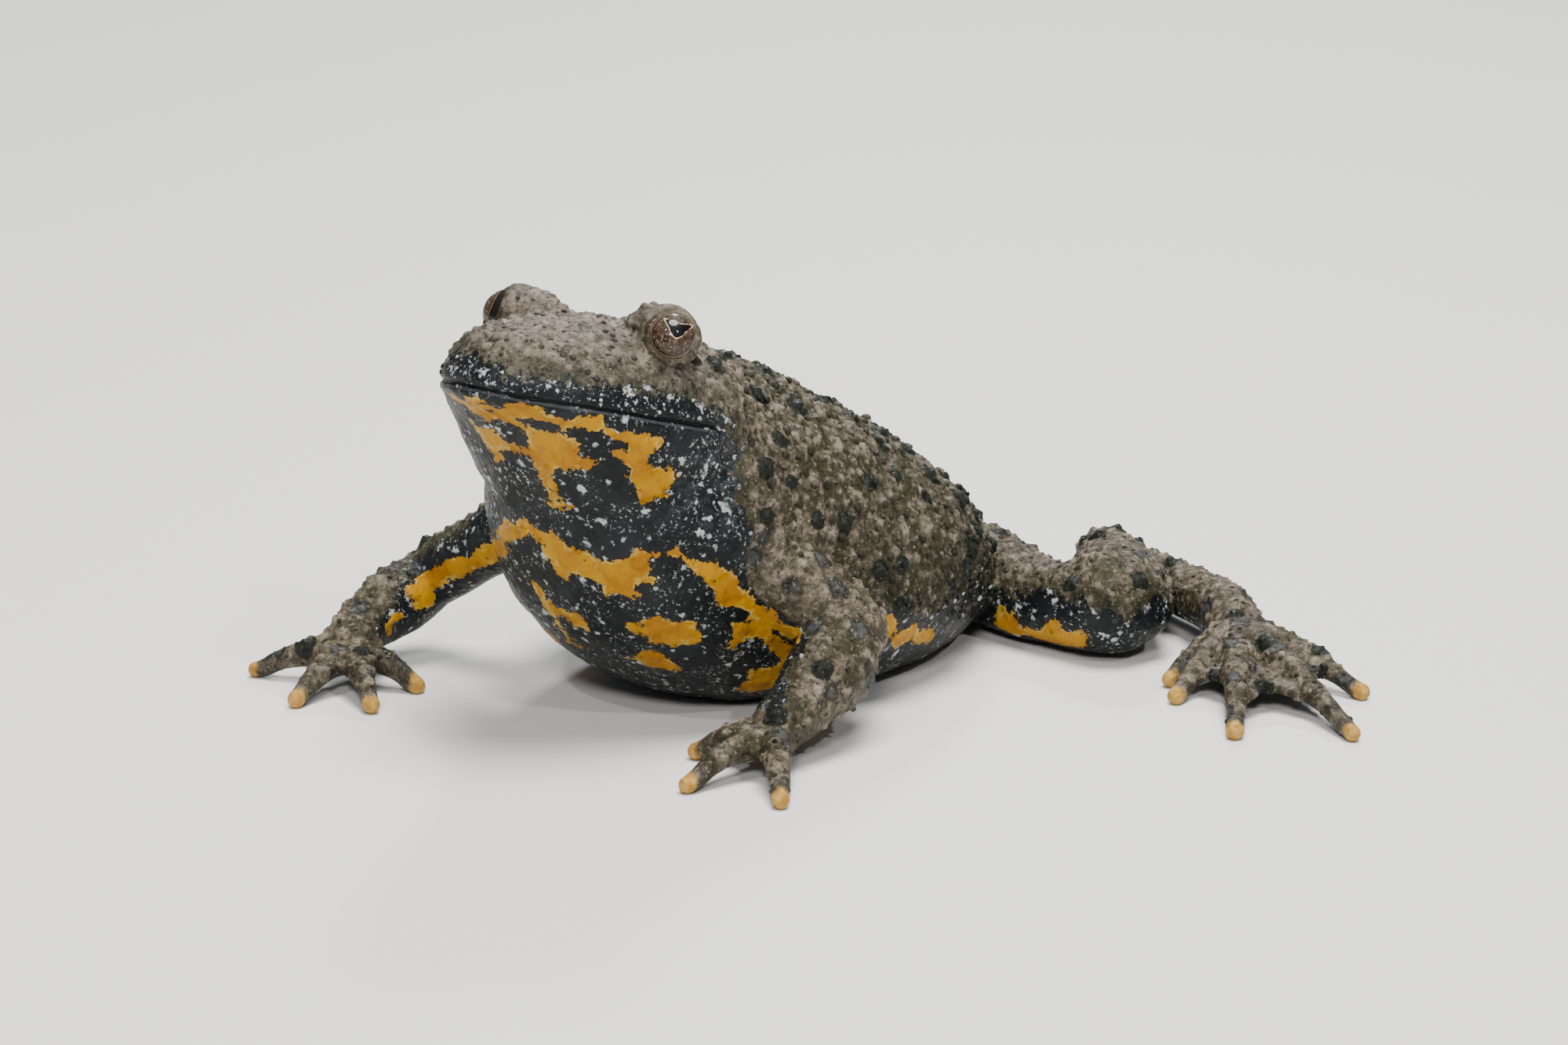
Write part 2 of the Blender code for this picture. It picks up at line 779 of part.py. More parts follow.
def main():
    clear_scene()
    rng = random.Random(SEED)
    floor = block("floor_block", (-FLOOR_REACH, -FLOOR_REACH, -FLOOR_DEPTH), (FLOOR_REACH, FLOOR_REACH, 0))
    trunk = make_trunk()
    torso, head = part_at_neck(trunk)
    limbs = make_limbs()
    unite(torso, scatter_warts(torso, BACK_WARTS, on_back, rng))
    finish_head(head, rng)
    pieces = [torso, head] + limbs
    for piece in pieces:
        flatten_base(piece, floor)
    drop(floor)
    make_room(pieces)
    for eye in make_eyes():
        colour(eye, IRIS_BRONZE, EYE_ROUGHNESS)
    for piece in pieces:
        tint = SKIN_BROWN
        if "arm" in piece.name or "thigh" in piece.name or "shank" in piece.name:
            tint = SKIN_SLATE
        if "hand" in piece.name or "foot" in piece.name:
            tint = DIGIT_TAN
        colour(piece, tint, SKIN_ROUGHNESS)


main()
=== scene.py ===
"""Looks of the yellow-bellied toad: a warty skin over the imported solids, wet eyes, floor, light and camera.

Sizes are in millimetres until a mesh is made. The toad faces -Y, its left is +X, and the floor is at z = 0.
"""

import math
from itertools import product

import bmesh
import bpy
import numpy as np
from mathutils import Matrix, Vector, kdtree, noise


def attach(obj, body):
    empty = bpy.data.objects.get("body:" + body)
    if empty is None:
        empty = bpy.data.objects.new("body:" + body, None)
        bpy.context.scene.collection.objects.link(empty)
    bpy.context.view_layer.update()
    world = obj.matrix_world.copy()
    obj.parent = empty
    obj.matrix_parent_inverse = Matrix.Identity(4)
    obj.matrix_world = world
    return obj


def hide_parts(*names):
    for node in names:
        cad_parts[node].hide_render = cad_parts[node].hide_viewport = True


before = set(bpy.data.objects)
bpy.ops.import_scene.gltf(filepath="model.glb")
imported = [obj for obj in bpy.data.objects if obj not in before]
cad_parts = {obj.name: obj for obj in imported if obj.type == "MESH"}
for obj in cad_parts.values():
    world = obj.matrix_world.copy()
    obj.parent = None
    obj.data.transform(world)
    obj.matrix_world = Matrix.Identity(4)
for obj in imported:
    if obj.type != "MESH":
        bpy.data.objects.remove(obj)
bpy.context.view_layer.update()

MM = 0.001
SEED = 11

# Sections of the trunk: back y and z, belly y and z, and half its width
TRUNK = [
    (-15.5, 19.6, -21.6, 12.5, 5.6),
    (-11.0, 19.9, -20.8, 9.4, 8.0),
    (-6.2, 18.2, -18.6, 5.0, 9.5),
    (-1.5, 15.8, -14.0, 1.2, 10.4),
    (2.0, 13.9, -8.0, -0.8, 10.9),
    (5.4, 11.7, -2.0, -1.2, 10.4),
    (8.6, 9.4, 4.0, -1.2, 8.6),
    (11.2, 7.2, 8.6, -0.8, 6.3),
    (13.4, 5.6, 11.8, 0.3, 4.2),
    (15.4, 4.4, 14.4, 1.3, 2.8),
    (16.8, 3.4, 16.2, 2.2, 1.4),
]
HEAD_PITCH = math.radians(18)
HEAD_CENTRE = np.array((0, -16.5, 17.2))
# Sections of the head in its own frame: how far forward, half its width, and its reach up and down
HEAD = [
    (-7.5, 5.2, 3.4, 5.0),
    (-5.0, 7.0, 4.3, 7.2),
    (-2.5, 7.8, 4.8, 7.8),
    (0.0, 8.0, 4.9, 7.9),
    (2.5, 7.6, 4.8, 6.8),
    (4.5, 6.8, 4.4, 5.1),
    (6.3, 5.9, 3.9, 3.15),
    (8.1, 4.7, 3.3, 1.65),
    (9.5, 3.4, 2.6, 1.1),
    (10.4, 2.2, 1.6, 0.9),
    (10.9, 1.1, 0.8, 0.4),
]
# How round each section is, as powers of its cosine or sine
CHEEK = 0.82
JOWL = 0.95
FLANK_ROUND = 0.9
BACK_ROUND = 0.95
# How far up from belly to back the trunk is widest
SPINE_SHARE = 0.46
# Points round each ring of the body and of the eyelids
SIDES = 96
EYE_PLACE = (5.85, 2.6, 4.36)
EYE_AXIS = (0.67, 0.74, 0.2)
EYE_RADIUS = 1.4
# The right eye is drawn in a little further than the left
EYE_SINK = {1: 0.0, -1: 0.34}
# How far the iris of each eye is turned towards the snout
GAZE = {1: 0.0, -1: 0.2}
# The mound behind each eye, its brow and the swelling under it: places from the eye, and radii
EYE_MOUND = (-0.55, -0.24, 0.16, 1.68)
BROW_ROOT = (2.8, 1.6, 2.6, 2.1)
BROW_CROWN = (-1.55, -0.4, 0.12, 1.6)
EYE_CHEEK = (-1.0, 0.0, -1.35, 1.6)
# The eye's socket: how far out it reaches, its depth, and the angles between which it fades out
SOCKET_REACH = 2.4
SOCKET_DEPTH = 1.18
SOCKET_EDGE = (64, 72)
NOSTRIL_PLACE = (1.6, 9.0, 2.5)
JAW_CORNER = (7.2, -1.4, -2.2)
MOUTH_LINE = [
    (-1.0, 0.4), (0.0, 0.27), (3.3, 0.14), (5.8, 0.06), (8.0, -0.05), (9.9, -0.2), (11.0, -0.13),
]
# Limbs as chains of beads: x, y, z and radius
BEADS = {
    "arm_left": [
        [(6.3, -13.6, 10.8, 2.6), (8.6, -11.9, 8.4, 2.5), (11.2, -9.6, 5.7, 2.2)],
        [
            (11.2, -9.6, 5.7, 2.0), (12.2, -11.9, 4.4, 2.35),
            (12.8, -15.4, 2.9, 1.75), (12.9, -17.2, 2.35, 1.5),
        ],
    ],
    "arm_right": [
        [(-7.0, -13.4, 9.9, 2.3), (-11.4, -13.9, 7.2, 1.95), (-15.4, -14.3, 4.7, 1.8)],
        [
            (-15.4, -14.3, 4.7, 1.7), (-15.9, -16.4, 3.7, 2.0),
            (-15.9, -19.2, 2.9, 1.6), (-15.3, -20.8, 2.35, 1.5),
        ],
    ],
    "leg_left": [
        [(4.6, 11.0, 3.1, 2.85), (8.8, 10.1, 2.6, 2.5), (11.7, 9.9, 2.65, 2.45), (14.5, 10.3, 3.2, 2.95)],
        [(15.4, 11.4, 2.9, 2.1), (11.4, 15.6, 2.7, 2.4), (6.4, 21.0, 2.2, 1.8)],
        [(6.6, 21.4, 1.9, 1.5), (12.4, 19.0, 2.1, 1.5), (18.0, 16.0, 2.3, 1.6), (21.0, 13.6, 2.15, 1.55)],
    ],
    "leg_right": [
        [(-4.6, 11.0, 3.1, 2.85), (-8.8, 10.1, 2.6, 2.5), (-11.7, 9.9, 2.65, 2.45), (-14.4, 10.3, 3.2, 2.95)],
        [(-15.2, 11.5, 2.9, 2.1), (-11.2, 15.7, 2.7, 2.4), (-6.4, 21.0, 2.2, 1.8)],
        [(-6.6, 21.4, 1.9, 1.5), (-11.4, 20.2, 2.1, 1.5), (-16.0, 18.4, 2.3, 1.6), (-18.0, 16.4, 2.15, 1.55)],
    ],
}
# Hands and feet: where the digits leave the palm, their tips on the floor, and how far a web joins them
PAWS = {
    "arm_left": ((13.0, -17.8), [(9.6, -14.9), (8.8, -19.2), (12.1, -23.7), (17.4, -22.5)], 0.58),
    "arm_right": ((-15.0, -21.4), [(-11.0, -20.2), (-10.2, -24.5), (-14.2, -26.4), (-20.1, -23.8)], 0.58),
    "leg_left": (
        (21.4, 13.2), [(20.5, 7.6), (22.6, 5.3), (28.7, 2.1), (33.7, 5.9), (30.0, 12.6)], 0.84
    ),
    "leg_right": (
        (-18.3, 16.0), [(-15.8, 10.6), (-19.6, 8.4), (-25.6, 5.0), (-28.4, 9.0), (-26.6, 14.4)], 0.84
    ),
}
# Along a digit: how far out, how high, and how thick
FINGER = [
    (0.0, 1.75, 1.2), (0.28, 1.75, 0.92), (0.52, 1.5, 0.7),
    (0.76, 1.05, 0.56), (0.92, 0.56, 0.52), (1.0, 0.42, 0.52),
]
TOE = [
    (0.0, 2.05, 1.35), (0.28, 1.95, 1.0), (0.52, 1.65, 0.76),
    (0.76, 1.15, 0.6), (0.92, 0.6, 0.54), (1.0, 0.42, 0.53),
]
WEB_THICKNESS = 0.5
WEB_HOLLOW = 0.24
WEB_START = 0.12
# The eyelid's section: angle from the middle of the eye, and distance from its centre
LID_SECTION = [
    (58, 1.33), (60, 1.41), (62.5, 1.48), (66, 1.54), (71, 1.59), (78, 1.60),
    (86, 1.57), (94, 1.5), (98, 1.36), (84, 1.28), (68, 1.25),
]

SKIN_GRAIN = 0.19
RAGGEDNESS = 0.8
SKIN_TRIANGLES = 192000
BUMP_SIDES = 7
BUMP_RINGS = 5
BUMP_DENSITY = 4e6
# How far from a limb's own surface the skin still belongs to it
LIMB_REACH = 0.35
# Warts: spacing, most of them, smallest and largest radius, steepness, and how sharp their points are
LARGE_WARTS = (1.7, 230, 0.5, 0.78, 0.46, 0.35)
SMALL_WARTS = (0.68, 2200, 0.28, 0.46, 0.42, 0.3)
# Scattered bumps: spacing, smallest and largest radius, flatness, and seed
TUBERCLES = {
    "trunk": (0.5 * MM, 0.1 * MM, 0.33 * MM, 0.7, 3),
    "head": (0.46 * MM, 0.07 * MM, 0.2 * MM, 0.6, 5),
    "limbs": (0.5 * MM, 0.07 * MM, 0.18 * MM, 0.55, 8),
}

# Height of the line between the brown back and the black underside, along the flank
FLANK_LINE = [
    (-19.0, 16.5), (-15.5, 14.0), (-14.0, 11.0), (-12.7, 8.2), (-8.4, 7.8), (-5.7, 6.4),
    (-3.7, 5.1), (0.3, 3.9), (4.6, 2.9), (17.0, 2.4), (20.0, 2.4),
]
LIP_BAND = 1.7
# On a limb, the way that the middle of its underside faces, and how far it has to face so to be black
UNDERSIDE_WAYS = {
    "arm_left": ((-0.72, 0.30, -0.62), 0.74),
    "arm_right": ((0.50, -0.50, -0.71), -0.05),
    "leg_left": ((0.0, -0.30, -0.95), 0.25),
    "leg_right": ((0.0, -0.30, -0.95), 0.25),
}
# Lowest and highest value of a signed distance that a colour is placed by
FIELD_REACH = (-6, 3)

# Colours as red, green and blue in linear light
DARK_TAUPE = (0.056, 0.045, 0.029)
PALE_TAUPE = (0.168, 0.136, 0.097)
PINK_TAUPE = (0.245, 0.198, 0.160)
OLIVE = (0.040, 0.037, 0.014)
CROWN_GREY = (0.190, 0.163, 0.143)
FLANK_OLIVE = (0.022, 0.025, 0.010)
PEPPER = (0.012, 0.010, 0.006)
# Painted shade in the low ground between the bumps
BUMP_GAP_SHADE = (0.018, 0.015, 0.008)
BUMP_CREST = (0.31, 0.262, 0.208)
SLATE_RIM = (0.011, 0.012, 0.013)
SLATE = (0.045, 0.05, 0.055)
PALE_FLECK = (0.34, 0.29, 0.23)
DARK_BUMP = (0.010, 0.010, 0.007)
PALE_BUMP = (0.30, 0.25, 0.19)
WART_RING = (0.030, 0.032, 0.012)
WART_BLACK = (0.006, 0.008, 0.006)
WART_GREY = (0.14, 0.145, 0.12)
BLUE_BLACK = (0.0015, 0.002, 0.0022)
SOFT_BLACK = (0.0085, 0.0105, 0.012)
# The pale haze on the black: faint clouds, and a painted sheen by the jaw corners
HAZE_GREY = (0.06, 0.074, 0.08)
STAR_GREY = (0.26, 0.29, 0.30)
STAR_WHITE = (0.52, 0.55, 0.54)
AMBER = (0.41, 0.202, 0.0)
DEEP_AMBER = (0.31, 0.125, 0.0)
RUST_VEIN = (0.25, 0.092, 0.0)
PIT_BROWN = (0.03, 0.012, 0.001)
PALE_RIM = (0.62, 0.47, 0.10)
FINGERTIP = (0.47, 0.285, 0.07)
FINGERTIP_BROWN = (0.36, 0.18, 0.03)
FINGER_RING = (0.020, 0.020, 0.018)
# A painted highlight along the lower lip, and the painted shade in the mouth's groove
LIP_GLINT_GREY = (0.06, 0.065, 0.07)
MOUTH_GROOVE_SHADE = (0.003, 0.003, 0.003)
IRIS_DARK = (0.010, 0.006, 0.004)
IRIS_BRONZE = (0.085, 0.050, 0.028)
IRIS_SHADE = (0.020, 0.014, 0.010)
IRIS_SHEEN = (0.085, 0.062, 0.046)
IRIS_SPARK = (0.36, 0.26, 0.16)
IRIS_RING = (0.02, 0.012, 0.008)
IRIS_HOOP = (0.20, 0.13, 0.08)
EYE_EDGE = (0.008, 0.006, 0.005)
PUPIL_GOLD = (0.62, 0.46, 0.29)
PUPIL_BLACK = (0.0015, 0.0015, 0.0015)
FLOOR_GREY = (0.74, 0.73, 0.71)
STUDIO_LIGHT = (0.86, 0.93, 1.0)

# Lamps: place in metres, height of the point each one faces, size in metres, watts, and tint
# The two small glint lamps put glints on the wet skin
LAMPS = {
    "overhead": ((0.06, 0.02, 0.55), 0.0, 0.3, 5.6, (1.0, 0.99, 0.96)),
    "front_left": ((0.30, -0.40, 0.34), 0.01, 0.12, 1.8, (1.0, 0.98, 0.95)),
    "glint_front": ((0.04, -0.34, 0.42), 0.01, 0.02, 0.55, (1.0, 1.0, 1.0)),
    "glint_side": ((0.36, -0.10, 0.34), 0.01, 0.02, 0.55, (1.0, 1.0, 1.0)),
    "rim": ((-0.25, 0.35, 0.30), 0.01, 0.08, 1.2, (0.95, 0.98, 1.0)),
}

# The camera, which also places the colour patches
VIEW_AZIMUTH = math.radians(40)
VIEW_ELEVATION = math.radians(15)
VIEW_TARGET = np.array((0.0, -8.0, 0.0))
VIEW_DISTANCE = 245.0
VIEW_OFFSET = (4.19, 8.886)
LENS = 100.0
SENSOR = 36.0
PHOTO = (2000, 1333)

# The fold of skin before the thigh, as the photograph shows it, in pixels, with the parts that it lies on
FOLDS = {
    "thigh fold": (("trunk", "leg_left"), [(1231, 646), (1236, 676), (1240, 705), (1243, 740), (1243, 778)]),
}
FOLD_DEPTH = 0.34
FOLD_WIDTH = 6.0

# Outlines of the orange patches, in pixels of the photograph, with the parts that each one lies on
PATCHES = {
    "lower lip stripe": (("head", "trunk"), [
        (592, 506), (601, 509), (608, 504), (618, 515), (628, 525), (641, 519), (647, 513), (661, 514),
        (679, 520), (688, 518), (701, 530), (711, 533), (734, 539), (740, 530), (754, 531), (766, 531),
        (772, 539), (772, 546), (786, 552), (804, 553), (824, 556), (829, 553), (848, 558), (847, 565),
        (835, 568), (804, 565), (786, 559), (768, 553), (749, 547), (711, 541), (690, 538), (658, 534),
        (647, 537), (628, 540), (618, 536), (604, 525),
    ]),
    "jaw": (("head", "trunk"), [
        (801, 560), (835, 565), (835, 578), (827, 586), (829, 596), (860, 597), (863, 608), (859, 620),
        (851, 624), (851, 636), (832, 636), (819, 643), (811, 638), (817, 631), (811, 620), (805, 611),
        (796, 607), (805, 602), (804, 593), (782, 586), (780, 577), (794, 572), (805, 569),
    ]),
    "throat": (("head", "trunk"), [
        (655, 533), (674, 544), (686, 550), (714, 552), (737, 566), (733, 572), (740, 582), (765, 588),
        (760, 599), (732, 602), (711, 595), (704, 598), (702, 605), (711, 620), (707, 628), (713, 636),
        (734, 648), (715, 653), (700, 642), (698, 628), (690, 604), (679, 589), (675, 581), (663, 577),
        (679, 568), (675, 558), (662, 548), (647, 538),
    ]),
    "chin": (("head", "trunk"), [
        (600, 534), (610, 544), (620, 546), (634, 554), (658, 568), (671, 574), (669, 580), (655, 576),
        (639, 568), (643, 585), (637, 590), (631, 578), (620, 565), (610, 552), (604, 542),
    ]),
    "chest band": (("trunk", "head", "arm_right"), [
        (638, 669), (641, 666), (652, 658), (657, 666), (664, 667), (670, 657), (678, 669), (695, 678),
        (707, 679), (719, 695), (741, 704), (756, 712), (771, 716), (787, 713), (802, 715), (814, 702),
        (831, 698), (839, 705), (851, 704), (865, 698), (874, 712), (857, 708), (839, 712), (829, 719),
        (826, 728), (831, 738), (837, 744), (820, 738), (814, 741), (811, 750), (820, 762), (805, 764),
        (793, 757), (777, 756), (768, 748), (759, 738), (744, 734), (731, 730), (722, 741), (713, 734),
        (705, 721), (695, 710), (689, 695), (682, 686), (673, 682), (664, 690), (649, 689), (640, 689),
        (633, 682),
    ]),
    "right arm stripe": (("arm_right", "trunk"), [
        (625, 680), (639, 682), (651, 688), (649, 703), (643, 714), (627, 718), (608, 726), (591, 735),
        (567, 744), (554, 749), (551, 756), (554, 766), (538, 779), (527, 778), (525, 761), (518, 751),
        (533, 737), (547, 725), (567, 714), (581, 710), (596, 711), (603, 701), (617, 697), (626, 688),
    ]),
    "right arm spot": (("arm_right",), [
        (498, 783), (513, 785), (501, 798), (500, 814), (506, 829), (496, 830), (498, 814), (493, 807),
        (491, 798),
    ]),
    "left chest band": (("trunk", "head", "arm_left"), [
        (875, 715), (897, 719), (912, 718), (918, 712), (926, 725), (941, 741), (946, 750), (955, 756),
        (970, 771), (989, 780), (998, 793), (1019, 805), (1021, 817), (1018, 829), (1013, 823),
        (1001, 811), (982, 802), (970, 796), (955, 783), (940, 774), (927, 774), (917, 773), (911, 768),
        (912, 756), (897, 741), (884, 728),
    ]),
    "below the left arm": (("trunk",), [
        (932, 796), (958, 794), (976, 799), (989, 805), (1007, 814), (1019, 826), (1019, 845),
        (1012, 863), (989, 872), (967, 883), (940, 881), (946, 872), (955, 869), (952, 857), (970, 854),
        (989, 851), (995, 842), (989, 832), (970, 823), (979, 814), (958, 814), (943, 819), (932, 829),
        (920, 825), (932, 814), (935, 805),
    ]),
    "belly": (("trunk",), [
        (785, 791), (802, 797), (817, 796), (826, 788), (839, 786), (854, 791), (869, 796), (884, 791),
        (889, 796), (886, 802), (900, 816), (895, 820), (869, 823), (860, 826), (836, 820), (823, 813),
        (805, 805),
    ]),
    "low belly": (("trunk",), [
        (799, 839), (814, 836), (820, 831), (836, 832), (854, 839), (866, 851), (871, 855), (854, 857),
        (836, 854), (814, 845),
    ]),
    "right of the belly": (("trunk",), [
        (666, 731), (676, 738), (692, 750), (704, 764), (710, 779), (725, 780), (734, 777), (747, 790),
        (750, 803), (734, 799), (722, 788), (712, 787), (716, 797), (725, 814), (744, 826), (754, 829),
        (738, 825), (719, 811), (704, 787), (689, 762), (679, 747),
    ]),
    "flank": (("trunk",), [
        (1127, 786), (1138, 782), (1142, 793), (1141, 809), (1152, 805), (1163, 796), (1169, 793),
        (1169, 807), (1187, 799), (1191, 810), (1186, 820), (1169, 824), (1165, 813), (1152, 824),
        (1144, 828), (1136, 819), (1128, 805),
    ]),
    "flank spot": (("trunk",), [
        (1188, 824), (1198, 816), (1208, 814), (1208, 821), (1200, 830), (1190, 833),
    ]),
    "thigh": (("leg_left",), [
        (1274, 771), (1282, 780), (1299, 785), (1302, 799), (1324, 806), (1332, 803), (1336, 789),
        (1349, 789), (1354, 803), (1372, 806), (1379, 805), (1387, 822), (1374, 829), (1338, 826),
        (1320, 817), (1299, 812), (1279, 812), (1265, 798), (1270, 787),
    ]),
}

# Outlines of the black underside, in the same way
DARK_OUTLINES = {
    "head and trunk": (("head", "trunk"), [
        (555, 457), (580, 447), (600, 450), (623, 459), (650, 471), (692, 477), (724, 482), (761, 487),
        (788, 491), (816, 496), (844, 498), (871, 496), (890, 510), (908, 519), (925, 530), (935, 545),
        (942, 565), (944, 590), (938, 615), (945, 640), (958, 668), (975, 690), (1000, 716), (1018, 750),
        (1030, 790), (1060, 800), (1105, 770), (1129, 780), (1154, 782), (1179, 780), (1204, 772),
        (1222, 762), (1236, 745), (1262, 735), (1270, 790), (1240, 850), (1180, 900), (1000, 930),
        (800, 920), (680, 880), (620, 780), (600, 640), (560, 560),
    ]),
    "right arm": (("arm_right",), [
        (640, 610), (620, 628), (600, 658), (576, 686), (556, 695), (540, 706), (528, 722), (516, 747),
        (502, 764), (493, 784), (489, 806), (492, 832), (520, 845), (600, 800), (680, 760), (700, 660),
    ]),
    "left leg": (("leg_left",), [
        (1236, 735), (1262, 750), (1285, 757), (1304, 752), (1325, 748), (1345, 756), (1366, 768),
        (1390, 775), (1420, 780), (1449, 784), (1466, 768), (1478, 760), (1494, 768), (1500, 800),
        (1470, 850), (1380, 860), (1230, 860),
    ]),
    "left arm": (("arm_left",), [
        (1012, 812), (1022, 812), (1003, 862), (988, 905), (978, 905), (991, 860),
    ]),
}

MIRRORED = {
    "arm_left": "arm_right", "arm_right": "arm_left", "leg_left": "leg_right", "leg_right": "leg_left",
}


def view_axes():
    """The camera's own axes: right, up and back."""
    turn, rise = VIEW_AZIMUTH, VIEW_ELEVATION
    back = np.array((math.sin(turn) * math.cos(rise), -math.cos(turn) * math.cos(rise), math.sin(rise)))
    right = np.array((math.cos(turn), math.sin(turn), 0.0))
    return right, np.cross(back, right), back


def view_place():
    right, up, back = view_axes()
    return VIEW_TARGET + back * VIEW_DISTANCE + right * VIEW_OFFSET[0] + up * VIEW_OFFSET[1]


def photo_pixels(points):
    """Where these places are seen in the photograph."""
    right, up, back = view_axes()
    away = points - view_place()
    depth = -(away @ back)
    focal = LENS / SENSOR * PHOTO[0]
    across = PHOTO[0] / 2 + focal * (away @ right) / depth
    return np.stack([across, PHOTO[1] / 2 - focal * (away @ up) / depth], 1)


def make_object(name, bm, material=None):
    """A scene object from a mesh in millimetres, made smooth where it gets its material at once."""
    bmesh.ops.recalc_face_normals(bm, faces=bm.faces)
    bmesh.ops.scale(bm, vec=(MM, MM, MM), verts=bm.verts)
    mesh = bpy.data.meshes.new(name)
    bm.to_mesh(mesh)
    bm.free()
    if material:
        mesh.materials.append(material)
        mesh.shade_smooth()
    obj = bpy.data.objects.new(name, mesh)
    bpy.context.scene.collection.objects.link(obj)
    return obj


def settle(obj):
    """Turn what the modifiers make into the object's own plain mesh."""
    bpy.context.view_layer.update()
    graph = bpy.context.evaluated_depsgraph_get()
    mesh = bpy.data.meshes.new_from_object(obj.evaluated_get(graph))
    obj.modifiers.clear()
    obj.data = mesh
    return obj


def smooth_rows(rows, steps):
    """More rows between these, on a smooth curve through them."""
    rows = np.array(rows, float)
    last = len(rows) - 1
    made = []
    for i in range(last):
        before, start, end, after = rows[max(i - 1, 0)], rows[i], rows[i + 1], rows[min(i + 2, last)]
        for k in range(steps):
            t = k / steps
            bend = (2 * before - 5 * start + 4 * end - after) * t * t
            twist = (3 * start - before - 3 * end + after) * t**3
            made.append(0.5 * (2 * start + (end - before) * t + bend + twist))
    made.append(rows[-1])
    return np.array(made)


def power(value, exponent):
    return math.copysign(abs(value) ** exponent, value)


def turns(count):
    """Angles all the way round, evenly spaced."""
    return [2 * math.pi * i / count for i in range(count)]


def lengths(ways):
    return np.linalg.norm(ways, axis=1)


def fade(values, low, high):
    """Smooth rise from 0 to 1 between low and high."""
    t = np.clip((values - low) / (high - low), 0, 1)
    return t * t * (3 - 2 * t)


def bell(values, width):
    """1 where the value is 0, and smoothly less about this width away from it."""
    return np.exp(-((values / width) ** 2))


def head_axes():
    forward = np.array((0, -math.cos(HEAD_PITCH), math.sin(HEAD_PITCH)))
    return np.array((1.0, 0, 0)), forward, np.array((0, math.sin(HEAD_PITCH), math.cos(HEAD_PITCH)))


def head_point(across, forward, up):
    axes = head_axes()
    return HEAD_CENTRE + axes[0] * across + axes[1] * forward + axes[2] * up


def head_local(points):
    """Across, forward and up of these places in the head's frame."""
    away = points - HEAD_CENTRE
    return np.stack([away @ axis for axis in head_axes()], 1)


def above_mouth(local):
    """How far these places in the head's frame are above the mouth line."""
    rows = np.array(MOUTH_LINE)
    return local[:, 2] - np.interp(local[:, 1], rows[:, 0], rows[:, 1])


def beside_eye(side, shift):
    """A place this far from the middle of the eye, in the head's frame."""
    up = EYE_PLACE[2] - EYE_SINK[side] + shift[2]
    return head_point(side * (EYE_PLACE[0] + shift[0]), EYE_PLACE[1] + shift[1], up)


def eye_centre(side):
    return beside_eye(side, (0.0, 0.0, 0.0))


def eye_frame(side):
    """The eye's own axes: across towards the snout's side, up, and out."""
    axes = head_axes()
    out = axes[0] * side * EYE_AXIS[0] + axes[1] * EYE_AXIS[1] + axes[2] * EYE_AXIS[2]
    out = out / np.linalg.norm(out)
    up = axes[2] - out * (axes[2] @ out)
    up = up / np.linalg.norm(up)
    return np.cross(up, out), up, out


def eye_gaps(points):
    """Distance from the middle of the nearer eye."""
    return np.minimum(*[lengths(points - eye_centre(side)) for side in (-1, 1)])


def loft(bm, rings, closed=False):
    """A skin over these rings, which is capped at both ends or joined to a closed hoop."""
    rows = [[bm.verts.new(point) for point in ring] for ring in rings]
    for row, following in zip(rows, rows[1:] + rows[:closed]):
        for i in range(len(row)):
            j = (i + 1) % len(row)
            bm.faces.new((row[i], row[j], following[j], following[i]))
    if not closed:
        bm.faces.new(rows[0])
        bm.faces.new(rows[-1])


def sphere_points(centre, radius, around=18, levels=10):
    points = []
    for level in range(levels + 1):
        polar = math.pi * level / levels
        for turn in turns(1 if level in (0, levels) else around):
            way = (math.sin(polar) * math.cos(turn), math.sin(polar) * math.sin(turn), math.cos(polar))
            points.append(np.array(centre) + np.array(way) * radius)
    return points


def add_hull(bm, points):
    """The convex hull of these points, wound in a small mesh of its own because that is quicker."""
    small = bmesh.new()
    made = [small.verts.new(point) for point in points]
    bmesh.ops.convex_hull(small, input=made)
    placed = {vert: bm.verts.new(vert.co) for vert in small.verts if vert.link_faces}
    for face in small.faces:
        bm.faces.new([placed[vert] for vert in face.verts])
    small.free()


def add_beads(bm, beads, steps=4):
    """A smooth round limb through these beads of x, y, z and radius."""
    chain = smooth_rows(beads, steps) if steps > 1 else np.array(beads)
    for first, second in zip(chain, chain[1:]):
        add_hull(bm, sphere_points(first[:3], first[3]) + sphere_points(second[:3], second[3]))


def trunk_point(section, turn):
    back_y, back_z, belly_y, belly_z, half = section
    back = np.array((0, back_y, back_z))
    belly = np.array((0, belly_y, belly_z))
    middle = belly + (back - belly) * SPINE_SHARE
    rise = power(math.sin(turn), BACK_ROUND)
    reach = back - middle if rise > 0 else middle - belly
    return middle + np.array((half * power(math.cos(turn), FLANK_ROUND), 0, 0)) + reach * rise


def skull_point(section, turn):
    forward, half, rise, fall = section
    height = math.sin(turn)
    side = power(math.cos(turn), CHEEK if height > 0 else JOWL)
    return head_point(half * side, forward, height * (rise if height > 0 else fall))


def body_rings(sections, place, steps=7):
    """Rings round the trunk or the head, on smooth curves through its sections."""
    return [[place(section, turn) for turn in turns(SIDES)] for section in smooth_rows(sections, steps)]


def digit_profile(limb):
    return TOE if limb.startswith("leg") else FINGER


def digit_beads(root, tip, profile):
    """A digit that leaves the palm high, arches over its knuckle and comes down to its tip on the floor."""
    start = np.array(root)
    beads = []
    for share, height, radius in smooth_rows(profile, 3):
        place = start + (np.array(tip) - start) * share
        beads.append((place[0], place[1], height, radius))
    return beads


